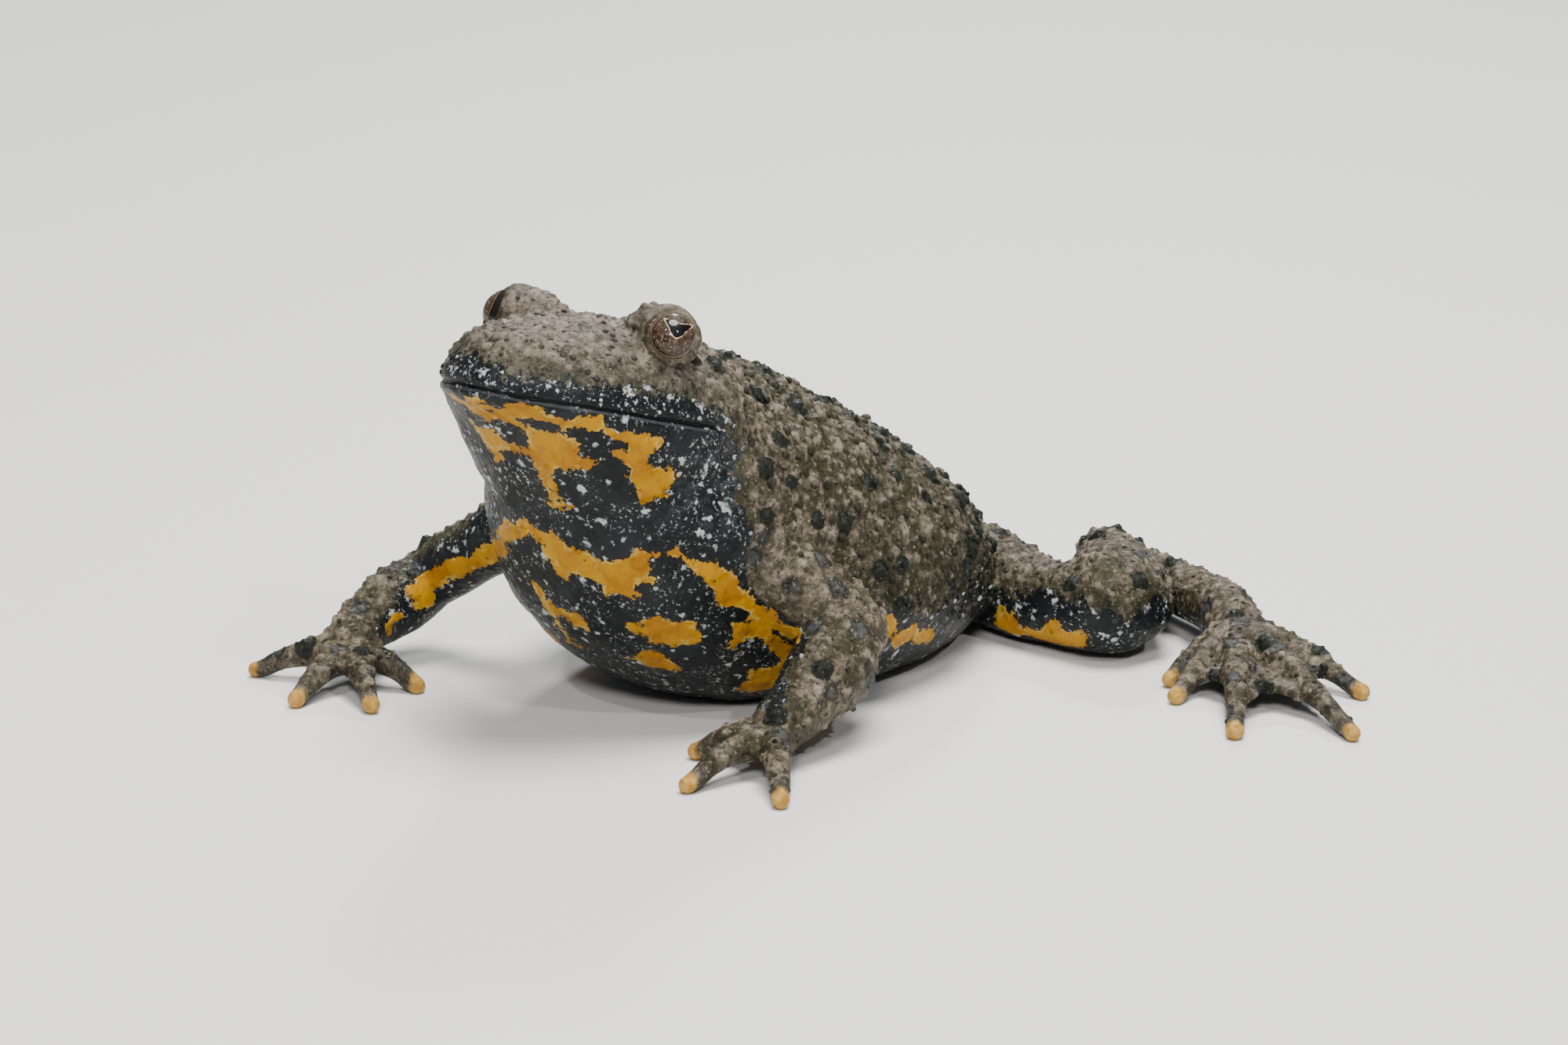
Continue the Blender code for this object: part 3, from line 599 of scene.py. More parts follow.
def add_web(bm, root, tips, reach, profile, across=7, along=5):
    """A thin arched skin between two digits, with a hollow free edge."""
    start = np.array(root)
    first, second = np.array(tips)
    heights = np.array(profile)
    rows = []
    for i in range(along + 1):
        row = []
        for j in range(across + 1):
            t = j / across
            edge = reach * (1 - WEB_HOLLOW * 4 * t * (1 - t))
            share = WEB_START + (edge - WEB_START) * i / along
            place = start + (first * (1 - t) + second * t - start) * share
            sag = 0.05 + 0.1 * 4 * t * (1 - t)
            height = float(np.interp(share, heights[:, 0], heights[:, 1]))
            row.append(np.array((place[0], place[1], height - sag)))
        rows.append(row)
    lift = np.array((0, 0, WEB_THICKNESS / 2))
    for row, following in zip(rows, rows[1:]):
        for j in range(across):
            corners = [row[j], row[j + 1], following[j], following[j + 1]]
            add_hull(bm, [point - lift for point in corners] + [point + lift for point in corners])


def build_body():
    """All the flesh as one closed mesh on a fine grid."""
    bm = bmesh.new()
    loft(bm, body_rings(TRUNK, trunk_point))
    loft(bm, body_rings(HEAD, skull_point))
    for side in (-1, 1):
        for swelling in (EYE_MOUND, EYE_CHEEK):
            add_hull(bm, sphere_points(beside_eye(side, swelling), swelling[3], 28, 18))
        root = head_point(side * BROW_ROOT[0], BROW_ROOT[1], BROW_ROOT[2])
        crown = beside_eye(side, BROW_CROWN)
        add_beads(bm, [(*root, BROW_ROOT[3]), (*crown, BROW_CROWN[3])], 1)
    for chains in BEADS.values():
        for chain in chains:
            add_beads(bm, chain)
    for limb, (root, tips, reach) in PAWS.items():
        profile = digit_profile(limb)
        for tip in tips:
            add_beads(bm, digit_beads(root, tip, profile), 1)
        for pair in zip(tips, tips[1:]):
            add_web(bm, root, pair, reach, profile)
    body = make_object("toad_skin", bm)
    remesh = body.modifiers.new("fuse", "REMESH")
    remesh.mode = "VOXEL"
    remesh.voxel_size = SKIN_GRAIN * MM
    settle(body)
    keep_largest(body)
    return body


def keep_largest(obj):
    """Drop every shell of the mesh but its largest."""
    bm = bmesh.new()
    bm.from_mesh(obj.data)
    left = set(bm.verts)
    shells = []
    while left:
        shell = [left.pop()]
        for vert in shell:
            near = {edge.other_vert(vert) for edge in vert.link_edges} & left
            left -= near
            shell.extend(near)
        shells.append(shell)
    for shell in sorted(shells, key=len)[:-1]:
        bmesh.ops.delete(bm, geom=shell, context="VERTS")
    bm.to_mesh(obj.data)
    bm.free()


def mesh_values(items, name, width, kind=float):
    values = np.empty(len(items) * width, kind)
    items.foreach_get(name, values)
    return values.reshape(-1, width)


def write_fields(obj, fields):
    """Values at the mesh's points that its material or its bumps read by name."""
    for name, values in fields.items():
        layer = obj.data.attributes.new(name, "FLOAT", "POINT")
        layer.data.foreach_set("value", values.astype(np.float32))


class Skin:
    """The skin's points in millimetres, with their normals and neighbours."""

    def __init__(self, obj):
        self.obj = obj
        self.points = mesh_values(obj.data.vertices, "co", 3) / MM
        self.edges = mesh_values(obj.data.edges, "vertices", 2, np.int64)
        self.counts = np.bincount(self.edges.ravel(), minlength=len(self.points)).astype(float)

    def relax(self, rounds, pull=0.5, push=-0.52):
        """Even out steps of the grid without shrinking the form."""
        a, b = self.edges[:, 0], self.edges[:, 1]
        count = len(self.points)
        for share in (pull, push) * rounds:
            mean = np.empty_like(self.points)
            for k in range(3):
                column = self.points[:, k]
                total = np.bincount(a, column[b], count) + np.bincount(b, column[a], count)
                mean[:, k] = total / self.counts
            self.points = self.points + share * (mean - self.points)

    def write(self):
        self.obj.data.vertices.foreach_set("co", (self.points * MM).ravel())
        self.obj.data.update()

    def normals(self):
        self.write()
        return mesh_values(self.obj.data.vertices, "normal", 3)


def from_segment(points, start, end):
    """How far these points are from a straight run, and how far along it the nearest place is."""
    along = end - start
    share = np.clip((points - start) @ along / (along @ along), 0, 1)
    return lengths(points - start - share[:, None] * along), share


def chain_distance(points, chains):
    """Distance in millimetres from the surface of these limbs."""
    best = np.full(len(points), 1e9)
    for chain in chains:
        for first, second in zip(np.array(chain), np.array(chain[1:])):
            gap, share = from_segment(points, first[:3], second[:3])
            best = np.minimum(best, gap - (first[3] + (second[3] - first[3]) * share))
    return best


def name_regions(points):
    """Which part of the toad each point belongs to, as one mask for each part."""
    gaps = []
    for limb, chains in BEADS.items():
        root, tips, _ = PAWS[limb]
        digits = [digit_beads(root, tip, digit_profile(limb)) for tip in tips]
        gaps.append(chain_distance(points, [smooth_rows(chain, 3) for chain in chains] + digits))
    close = np.min(gaps, axis=0) < LIMB_REACH
    nearest = np.argmin(gaps, axis=0)
    masks = {limb: close & (nearest == i) for i, limb in enumerate(BEADS)}
    local = head_local(points)
    masks["head"] = ~close & (local[:, 1] > -3.0) & (local[:, 2] > -8.2) & (points[:, 1] < -13)
    masks["trunk"] = ~close & ~masks["head"]
    return masks


def field_noise(points, scale, seed, octaves=3):
    """Smooth noise from -1 to 1 at each point, with features of about this size in millimetres."""
    shift = Vector((seed * 17.3, seed * 5.1, seed * 9.7))
    return np.array([noise.fractal(Vector(point) / scale + shift, 0.9, 2.0, octaves) for point in points])


def line_distance(pixels, line):
    """Distance in pixels from an open line of straight runs."""
    best = np.full(len(pixels), 1e9)
    for start, end in zip(np.array(line, float), np.array(line[1:], float)):
        best = np.minimum(best, from_segment(pixels, start, end)[0])
    return best


def outline_distance(pixels, outline):
    """Signed distance in pixels from an outline, above zero inside it."""
    closed = outline + outline[:1]
    x, y = pixels[:, 0], pixels[:, 1]
    inside = np.zeros(len(pixels), bool)
    for (ax, ay), (bx, by) in zip(closed, closed[1:]):
        if ay != by:
            inside ^= ((ay > y) != (by > y)) & (x < ax + (y - ay) * (bx - ax) / (by - ay))
    gap = line_distance(pixels, closed)
    return np.where(inside, gap, -gap)


def photo_sides(points, normals, masks):
    """The toad as the photograph shows it mirrored, and then as it is.

    For each: the points' pixels, how squarely they are seen, and the masks by the names they have there.
    """
    mirrored = {MIRRORED.get(name, name): mask for name, mask in masks.items()}
    for side, named in ((np.array((-1, 1, 1)), mirrored), (np.ones(3), masks)):
        yield photo_pixels(points * side), fade((normals * side) @ view_axes()[2], 0.0, 0.3), named


def outline_field(points, normals, masks, outlines, elsewhere):
    """Millimetres inside these outlines, on the side that the photograph shows and mirrored on the other.

    A point that neither side's view can see takes its value from elsewhere.
    """
    pixels_per_mm = LENS / SENSOR * PHOTO[0] / VIEW_DISTANCE
    field = elsewhere.copy()
    for pixels, facing, named in photo_sides(points, normals, masks):
        value = np.full(len(points), -9.0)
        told = np.zeros(len(points), bool)
        for parts, outline in outlines.values():
            here = np.any([named[part] for part in parts], axis=0) & (facing > 0)
            value[here] = np.maximum(value[here], outline_distance(pixels[here], outline) / pixels_per_mm)
            told |= here
        seen = field * (1 - facing) + np.clip(value, *FIELD_REACH) * facing
        field = np.where(told, seen, field)
    return field


def underside_field(points, normals, masks):
    """Signed distance in millimetres from the line between back and underside, above zero below it."""
    local = head_local(points)
    flank = np.array(FLANK_LINE)
    below = np.interp(points[:, 1], flank[:, 0], flank[:, 1]) - points[:, 2]
    jaw = LIP_BAND - local[:, 2]
    share = fade(local[:, 1], -3.2, -0.5)
    value = below * (1 - share) + jaw * share
    for limb, (way, shift) in UNDERSIDE_WAYS.items():
        here = masks[limb]
        value[here] = ((normals[here] @ np.array(way)) - shift) * 2.2
    return np.clip(value, *FIELD_REACH)


def tip_field(points):
    """Distance back from the end of the nearest digit, in millimetres."""
    best = np.full(len(points), 9.0)
    low = points[:, 2] < 1.6
    for root, tips, _ in PAWS.values():
        for tip in np.array(tips):
            way = (tip - root) / np.linalg.norm(tip - root)
            away = points[:, :2] - tip
            near = low & (lengths(away) < 1.5)
            best = np.where(near, np.minimum(best, 0.5 - away @ way), best)
    return best


def press_folds(skin, masks):
    """Creases along the folds, on the side that the photograph shows and mirrored on the other."""
    normals = skin.normals()
    move = np.zeros(len(skin.points))
    for pixels, facing, named in photo_sides(skin.points, normals, masks):
        for parts, line in FOLDS.values():
            here = np.any([named[part] for part in parts], axis=0)
            move += bell(line_distance(pixels, line), FOLD_WIDTH) * facing * here * FOLD_DEPTH
    skin.points = skin.points - normals * np.minimum(move, FOLD_DEPTH)[:, None]


def sink_sockets(skin):
    """A round hollow for each eyeball."""
    for side in (-1, 1):
        centre = eye_centre(side)
        away = skin.points - centre
        reach = lengths(away)
        way = away / np.maximum(reach, 1e-6)[:, None]
        angle = np.degrees(np.arccos(np.clip(way @ eye_frame(side)[2], -1, 1)))
        sink = (reach < SOCKET_REACH) & (angle < SOCKET_EDGE[1])
        depth = SOCKET_DEPTH + (reach - SOCKET_DEPTH) * fade(angle, *SOCKET_EDGE)
        skin.points[sink] = centre + way[sink] * depth[sink][:, None]


def shape_face(skin):
    """The groove of the mouth between two lips, and a rimmed pit for each nostril."""
    normals = skin.normals()
    local = head_local(skin.points)
    height = above_mouth(local)
    lips = bell(height - 0.6, 0.4) * 0.05 + bell(height + 0.36, 0.2) * 0.06 - bell(height, 0.15) * 0.2
    move = lips * fade(local[:, 1], -1.6, 0.4) * (skin.points[:, 1] < -12)
    for side in (-1, 1):
        gap = lengths(skin.points - head_point(side * NOSTRIL_PLACE[0], *NOSTRIL_PLACE[1:]))
        move += bell(gap - 0.55, 0.3) * 0.14 - bell(gap, 0.32) * 0.5
    skin.points = skin.points + normals * move[:, None]


def scatter(skin, allow, spacing, count, rng):
    """Indices of points chosen at random where allow is above a random draw, at least spacing apart."""
    order = rng.permutation(len(skin.points))
    draws = rng.random(len(order))
    cells = {}
    chosen = []
    for i in order:
        if draws[i] > allow[i]:
            continue
        place = skin.points[i]
        cell = tuple(np.floor(place / spacing).astype(int).tolist())
        near = [j for key in product(*[(k - 1, k, k + 1) for k in cell]) for j in cells.get(key, ())]
        if any(np.linalg.norm(skin.points[j] - place) < spacing for j in near):
            continue
        cells.setdefault(cell, []).append(i)
        chosen.append(i)
        if len(chosen) >= count:
            break
    return chosen


def raise_warts(skin, chosen, radii, steepness, sharp):
    """Round swellings at the chosen points, each with a small point of its own.

    Returns how near each point is to a tip, and a random value that is the same all over one swelling.
    """
    tree = kdtree.KDTree(len(skin.points))
    for i, point in enumerate(skin.points):
        tree.insert(Vector(point), i)
    tree.balance()
    normals = skin.normals()
    move = np.zeros_like(skin.points)
    tips = np.zeros(len(skin.points))
    shades = np.zeros(len(skin.points))
    draws = np.random.default_rng(SEED).random(len(chosen))
    for i, radius, height, draw in zip(chosen, radii, radii * steepness, draws):
        for _, j, gap in tree.find_range(Vector(skin.points[i]), radius):
            share = 1 - (gap / radius) ** 2
            rise = share**1.5 + sharp * max(0.0, 1 - gap / (0.45 * radius))
            move[j] += normals[i] * height * rise
            if share > tips[j]:
                tips[j] = share
                shades[j] = draw
    skin.points = skin.points + move
    return tips, shades


def sow_warts(skin, allow, sizes, rng):
    spacing, most, smallest, largest, steepness, sharp = sizes
    chosen = scatter(skin, allow, spacing, most, rng)
    return raise_warts(skin, chosen, rng.uniform(smallest, largest, len(chosen)), steepness, sharp)


def grow_warts(skin, masks, fields, eye_gap):
    """Large and small warts over back and flanks, fewer over the limbs, and the fields of both."""
    rng = np.random.default_rng(SEED)
    core = masks["trunk"] | masks["head"]
    under = fields["under"]
    back = fade(-under, -0.3, 1.2) * (eye_gap > 2.2)
    rough = back * np.where(core, 1.0, 0.2 * fade(skin.points[:, 2], 1.2, 2.4))
    rough = np.maximum(rough, fields["flank"] * (under < 0.3))
    snout = masks["head"] & (head_local(skin.points)[:, 1] > 1.0)
    rough = np.where(snout, rough * 0.3, rough)
    large, shade = sow_warts(skin, rough * ~snout * np.where(core, 0.9, 0.35), LARGE_WARTS, rng)
    fields["wart"], fields["wart_shade"] = sow_warts(skin, rough * (1 - large), SMALL_WARTS, rng)
    fields["spine"] = np.where(shade > 0.3, large, 0.0)
    fields["knob"] = np.where(shade > 0.3, 0.0, large)


def pattern_fields(points, normals, masks):
    """The fields that place the colours on the skin."""
    core = masks["trunk"] | masks["head"]
    below = np.where(core & (normals[:, 2] < -0.85), (field_noise(points, 4.2, 3.0, 2) - 0.1) * 3.0, -3.0)
    orange = outline_field(points, normals, masks, PATCHES, below)
    rim = core & (points[:, 2] < 0.8) & (normals[:, 2] > -0.98)
    orange = np.where(rim, -3.0, orange)
    under = outline_field(points, normals, masks, DARK_OUTLINES, underside_field(points, normals, masks))
    under = np.maximum(under, np.where(orange > -0.25, 1.0, -3.0))
    local = head_local(points)
    lip = np.where((local[:, 1] > -1.3) & (points[:, 1] < -12), above_mouth(local), 3.0)
    jaws = [head_point(side * JAW_CORNER[0], *JAW_CORNER[1:]) for side in (-1, 1)]
    return {
        "orange": orange,
        "under": under,
        "tips": tip_field(points),
        "lip": lip + fade(-local[:, 1], -0.2, 1.2) * 2.0,
        "crown": masks["head"] * fade(local[:, 1], -3.0, 0.0),
        "flank": masks["trunk"] * fade(under, -5.5, -0.8) * fade(points[:, 1], -11.5, -8.5),
        "limb": (~core).astype(float),
        # Near each jaw corner: more specks, and a painted sheen of wet highlights
        "jaw_sheen_and_specks": bell(np.minimum(*[lengths(points - jaw) for jaw in jaws]), 3.0),
        "tone": np.zeros(len(points)),
    }


def cover_fields(points, masks, fields, eye_gap):
    """How thickly the scattered bumps stand on each part."""
    under = fields["under"]
    clear = eye_gap > 1.95
    high = points[:, 2]
    allow = fade(-under, -0.6, 0.3) * clear * (high > 0.5) * (fields["tips"] > 1.2)
    lip_band = fade(fields["lip"], 0.25, 0.5) * fade(-fields["lip"], -3.0, -2.2) * clear
    low = fade(-under, -1.3, -0.3) * (fields["orange"] < -0.3) * (high > 2.0)
    return {
        "cover_head": np.maximum(allow, lip_band * 0.7) * masks["head"],
        "cover_trunk": np.maximum(allow, low * 0.8) * masks["trunk"],
        "cover_limbs": allow * ~(masks["trunk"] | masks["head"]),
    }


def build_skin():
    """The whole skin: body, face, folds and warts, with the fields that its colours and bumps read."""
    body = build_body()
    skin = Skin(body)
    skin.relax(5)
    sink_sockets(skin)
    shape_face(skin)
    masks = name_regions(skin.points)
    press_folds(skin, masks)
    points = skin.points
    fields = pattern_fields(points, skin.normals(), masks)
    eye_gap = eye_gaps(points)
    grow_warts(skin, masks, fields, eye_gap)
    skin.relax(1, 0.3, -0.3)
    ripple = field_noise(points, 2.4, 1.0) * 0.10 * (eye_gap > 2.6)
    skin.points = skin.points + skin.normals() * ripple[:, None]
    skin.points[:, 2] = np.maximum(skin.points[:, 2], 0.0)
    skin.write()
    write_fields(body, fields)
    write_fields(body, cover_fields(points, masks, fields, eye_gap))
    thin(body, SKIN_TRIANGLES)
    body.data.shade_smooth()
    return body


def thin(obj, most):
    """Fewer triangles where the surface is plain, and as many as before where it is not."""
    count = sum(len(face.vertices) - 2 for face in obj.data.polygons)
    collapse = obj.modifiers.new("thin", "DECIMATE")
    collapse.ratio = min(1.0, most / count)
    settle(obj)


class Value:
    """What a node puts out, so that sums and products of it are written with their plain signs."""

    def __init__(self, tree, socket):
        self.tree = tree
        self.socket = socket

    def __add__(self, other):
        return self.tree.math("ADD", self, other)

    def __sub__(self, other):
        return self.tree.math("SUBTRACT", self, other)

    def __rsub__(self, other):
        return self.tree.math("SUBTRACT", other, self)

    def __mul__(self, other):
        return self.tree.math("MULTIPLY", self, other)

    __radd__ = __add__


class Tree:
    """Short ways to add nodes to a node tree."""

    def __init__(self, tree):
        self.tree = tree

    def link(self, value, socket):
        """Link a value to a socket, or set the socket to a plain number, name, material or colour."""
        if isinstance(value, Value):
            self.tree.links.new(value.socket, socket)
        elif socket.type == "RGBA":
            socket.default_value = (*value, 1.0)
        else:
            socket.default_value = value

    def fill(self, node, inputs):
        for key, value in inputs.items():
            self.link(value, node.inputs[key])
        return node

    def node(self, kind, inputs, **settings):
        made = self.tree.nodes.new(kind)
        for key, value in settings.items():
            setattr(made, key, value)
        return self.fill(made, inputs)

    def value(self, kind, inputs, output=0, **settings):
        return Value(self, self.node(kind, inputs, **settings).outputs[output])

    def entries(self):
        """What the group is given, by name."""
        return {socket.name: Value(self, socket) for socket in self.node("NodeGroupInput", {}).outputs}

    def math(self, operation, first, second=0.0, third=None, clamp=False):
        inputs = {0: first, 1: second} if third is None else {0: first, 1: second, 2: third}
        return self.value("ShaderNodeMath", inputs, operation=operation, use_clamp=clamp)

    def most(self, first, second):
        return self.math("MAXIMUM", first, second)

    def length(self, x, y):
        return self.math("SQRT", x * x + y * y)

    def vector(self, operation, first, second, key=1):
        return self.value("ShaderNodeVectorMath", {0: first, key: second}, operation=operation)

    def step(self, value, low, high):
        """Smooth rise from 0 to 1 between low and high."""
        inputs = {"Value": value, "From Min": low, "From Max": high}
        return self.value("ShaderNodeMapRange", inputs, "Result", interpolation_type="SMOOTHSTEP")

    def mix(self, share, first, second):
        return self.value("ShaderNodeMix", {"Factor": share, 6: first, 7: second}, 2, data_type="RGBA")

    def paint(self, base, layers):
        """Colours laid over a base one after another, each by its share."""
        for share, colour in layers:
            base = self.mix(share, base, colour)
        return base

    def field(self, name):
        return self.value("ShaderNodeAttribute", {}, "Fac", attribute_name=name)

    def place(self):
        return self.value("ShaderNodeTexCoord", {}, "Object")

    def noise(self, size, detail, rough, shift=0.0, output="Fac"):
        """Noise with features of about this size in millimetres."""
        place = self.place()
        if shift:
            place = self.vector("ADD", place, (shift, shift * 0.7, -shift))
        inputs = {"Vector": place, "Scale": 1.0 / (size * MM), "Detail": detail, "Roughness": rough}
        return self.value("ShaderNodeTexNoise", inputs, output)

    def clouds(self, size, detail, rough, low, high, shift=0.0):
        """Soft-edged patches: 0 where the noise is below low, and 1 where it is above high."""
        return self.step(self.noise(size, detail, rough, shift), low, high)

    def cells(self, size, place=None, feature="F1"):
        """Distance from the nearest of many scattered places."""
        inputs = {"Vector": place or self.place(), "Scale": 1.0 / (size * MM)}
        return self.value("ShaderNodeTexVoronoi", inputs, "Distance", feature=feature)

    def warped(self, size, amount):
        """Object coordinates pushed about by noise, so that what reads them has ragged edges."""
        push = self.vector("SUBTRACT", self.noise(size, 2.0, 0.5, output="Color"), (0.5, 0.5, 0.5))
        return self.vector("ADD", self.place(), self.vector("SCALE", push, amount * MM, "Scale"))

    def bump(self, height, strength, depth):
        return self.value("ShaderNodeBump", {"Strength": strength, "Distance": depth * MM, "Height": height})


def new_group(name, kind, sockets):
    """A node group with these sockets: way, name, kind and, for some, a value to start from."""
    group = bpy.data.node_groups.new(name, kind)
    for way, title, form, *start in sockets:
        socket = group.interface.new_socket(title, in_out=way, socket_type=f"NodeSocket{form}")
        if start:
            socket.default_value = start[0]
    return Tree(group)


def new_material(name):
    """A material, its tree and its shader."""
    material = bpy.data.materials.new(name)
    material.use_nodes = True
    return material, Tree(material.node_tree), material.node_tree.nodes["Principled BSDF"]


def back_colour(t, ragged):
    """Taupe back: clouds, olive tints, painted shade between the bumps, pale bumps, dark warts, and slate
    blotches on the limbs.
    """
    crown = t.field("crown")
    plain = 1.0 - crown * 0.6
    low = t.step(t.field("under") + ragged * 3.0, -1.8, 0.5)
    side = t.step(t.field("flank") + ragged * 1.1, 0.2, 0.75)
    bump = t.most(t.field("wart"), t.field("knob"))
    # Painted shade in the hollows between the bumps, in patches
    gap = t.step(bump, 0.30, 0.02) * t.clouds(0.8, 3.0, 0.6, 0.34, 0.56, 0.027)
    chosen = t.most(t.step(t.field("wart_shade"), 0.55, 0.58), t.step(t.field("knob"), 0.1, 0.3))
    crest = t.step(bump + ragged * 1.6, 0.3, 1.0) * chosen * t.clouds(0.55, 3.0, 0.7, 0.4, 0.58, 0.077)
    warped = t.warped(0.7, 0.9)
    blot = t.step(t.cells(2.7, warped), 0.30, 0.22) * t.field("limb")
    slate = t.mix(t.step(t.cells(2.7, warped), 0.13, 0.19), SLATE, SLATE_RIM)
    tone = t.field("tone")
    spine = t.field("spine")
    wart = t.mix(t.clouds(0.2, 3.0, 0.7, 0.62, 0.68, 0.063), WART_BLACK, WART_GREY)
    layers = [
        (t.clouds(0.9, 3.0, 0.65, 0.5, 0.64, 0.057) * 0.75, PINK_TAUPE),
        (t.clouds(2.6, 3.0, 0.68, 0.52, 0.62, 0.031) * 0.75 * plain, OLIVE),
        (crown * 0.3, CROWN_GREY),
        # The flank turns dark and olive towards the underside
        (t.most(low * 0.8, side * 0.72), FLANK_OLIVE),
        (t.clouds(0.36, 4.0, 0.72, 0.53, 0.59, 0.021) * 0.75, PEPPER),
        # Painted shade darkens the low ground between the bumps, in patches, and some bumps are pale
        (gap * 0.62 * plain, BUMP_GAP_SHADE),
        (crest * 0.55, BUMP_CREST),
        # Slate blotches on the limbs, darker at their rims
        (blot * 0.8, slate),
        (t.clouds(0.3, 3.0, 0.65, 0.58, 0.65, 0.091) * 0.32 * plain, PALE_FLECK),
        # Some of the scattered bumps are dark, and others pale
        (t.step(tone, 0.74, 0.75) * 0.7, DARK_BUMP),
        (t.step(tone, 0.02, 0.03) * t.step(tone, 0.20, 0.19) * 0.45, PALE_BUMP),
        # Dark warts in an olive ring
        (t.step(spine + ragged * 0.5, -0.02, 0.14) * 0.45, WART_RING),
        (t.step(spine + ragged * 0.6, 0.1, 0.24) * 0.93, wart),
    ]
    return t.paint(t.mix(t.clouds(1.7, 4.0, 0.66, 0.38, 0.64), DARK_TAUPE, PALE_TAUPE), layers)


def underside_colour(t, cover):
    """Blue-black underside with a painted sheen by the jaw corners, ragged whitish stars, white-tipped bumps
    and a fine dust of specks.
    """
    jaw_sheen_and_specks = t.field("jaw_sheen_and_specks")
    black = t.mix(t.noise(1.2, 4.0, 0.65, 0.043), BLUE_BLACK, SOFT_BLACK)
    # Pale haze on the black: faint clouds everywhere, and a painted sheen of wet highlights by each jaw
    # corner
    haze = t.clouds(2.6, 3.0, 0.65, 0.46, 0.66, 0.067) * 0.1
    haze = haze + jaw_sheen_and_specks * t.clouds(0.8, 4.0, 0.75, 0.42, 0.78, 0.033)
    black = t.mix(t.math("MULTIPLY", haze, cover, clamp=True), black, HAZE_GREY)
    # Jagged stars, more of them by the corner of the mouth and over the upper lip
    height = t.field("lip")
    crowd = t.most(t.step(height, 0.15, 0.35) * t.step(height, 2.9, 2.3), jaw_sheen_and_specks)
    gate = t.step(t.noise(1.7, 2.0, 0.6, 0.061) + crowd * 0.16, 0.47, 0.54)
    star = t.step(t.cells(1.3, t.warped(0.3, 0.85)) - (0.18 + crowd * 0.04), 0.05, -0.05) * gate
    some = t.step(t.noise(0.9, 2.0, 0.6, 0.073) + crowd * 0.12, 0.47, 0.55)
    small = t.step(t.cells(0.64, t.warped(0.2, 0.4)), 0.27, 0.15) * some
    dusty = t.step(t.noise(1.6, 2.0, 0.6, 0.087) + crowd * 0.1, 0.46, 0.56)
    dust = t.clouds(0.22, 3.0, 0.75, 0.58, 0.65, 0.083) * 0.75 * dusty
    tone = t.field("tone")
    capped = t.step(tone, 0.30, 0.31) * t.step(tone, 0.62, 0.61)
    specks = t.most(t.most(star, small * 0.85), t.most(dust, capped))
    pale = t.mix(t.noise(0.5, 2.0, 0.6, 0.017), STAR_GREY, STAR_WHITE)
    return t.mix(specks * cover, black, pale)


def orange_colour(t, edge):
    """Amber patches with deeper clouds, small dark pits and pale broken rims."""
    rim = t.step(edge, 0.24, 0.04) * t.clouds(1.0, 2.0, 0.6, 0.48, 0.6, 0.059)
    layers = [
        (t.clouds(1.8, 3.0, 0.6, 0.36, 0.68, 0.037), DEEP_AMBER),
        (t.clouds(0.36, 3.0, 0.7, 0.56, 0.68, 0.049) * 0.4, RUST_VEIN),
        (t.step(t.cells(1.5, t.warped(0.4, 0.3)), 0.085, 0.05) * 0.75, PIT_BROWN),
        (rim * 0.5, PALE_RIM),
    ]
    return t.paint(AMBER, layers)


def skin_group():
    """Colour, roughness and relief of the toad's skin from its fields."""
    sockets = [
        ("INPUT", "Edge Raggedness", "Float"),
        ("INPUT", "Speck Cover", "Float"),
        ("OUTPUT", "Color", "Color"),
        ("OUTPUT", "Roughness", "Float"),
        ("OUTPUT", "Height", "Float"),
    ]
    t = new_group("toad skin pattern", "ShaderNodeTree", sockets)
    entry = t.entries()
    jagged = t.noise(0.3, 3.0, 0.7, 0.005) - 0.5
    ragged = t.noise(0.9, 2.0, 0.6) - 0.5 + jagged * 0.9
    edge = t.field("orange") + ragged * entry["Edge Raggedness"]
    under = t.field("under")
    border = under + ragged * 2.4 + (t.noise(2.4, 2.0, 0.5, 0.013) - 0.5) * 1.6
    tip = t.field("tips") + ragged * 0.7
    ring = t.step(t.math("SINE", tip * 6.5), 0.1, 0.7) * t.step(tip, 4.6, 3.4)
    height = t.field("lip") + jagged * 0.05
    # Painted shade along the mouth's groove, which also sinks its bump
    line = t.step(t.math("ABSOLUTE", height), 0.085, 0.04)
    layers = [
        (t.step(border, -0.12, 0.2), underside_colour(t, entry["Speck Cover"])),
        (t.step(edge, -0.02, 0.025), orange_colour(t, edge)),
        # Amber fingertips with dark rings behind them
        (ring * 0.5, FINGER_RING),
        (t.step(tip, 0.9, 0.4), t.mix(t.clouds(0.4, 3.0, 0.65, 0.4, 0.62), FINGERTIP, FINGERTIP_BROWN)),
        # The mouth line, painted black as the shade in its groove, with a painted grey highlight along the
        # lip under it
        (t.step(t.math("ABSOLUTE", height + 0.2), 0.1, 0.03) * 0.5, LIP_GLINT_GREY),
        (line, MOUTH_GROOVE_SHADE),
    ]
    # The relief: grain and pebbles, stronger on the back, and soft swellings on the orange
    on_back = t.step(under, 0.6, -0.6)
    grain = t.noise(0.26, 4.0, 0.65, 0.011) * (0.35 + on_back * 0.65)
    pebble = t.step(t.cells(0.42, feature="SMOOTH_F1"), 0.7, 0.05) * (0.3 + on_back * 0.5)
    swell = t.step(t.cells(1.1, t.warped(0.5, 0.4), "SMOOTH_F1"), 0.55, 0.1) * (t.step(edge, -0.1, 0.2) * 1.5)
    leave = {
        "Color": t.paint(back_colour(t, ragged), layers),
        "Roughness": 0.34 + t.noise(0.6, 3.0, 0.6, 0.071) * 0.34,
        "Height": grain + pebble + swell - line * 1.2,
    }
    t.node("NodeGroupOutput", leave)
    return t.tree


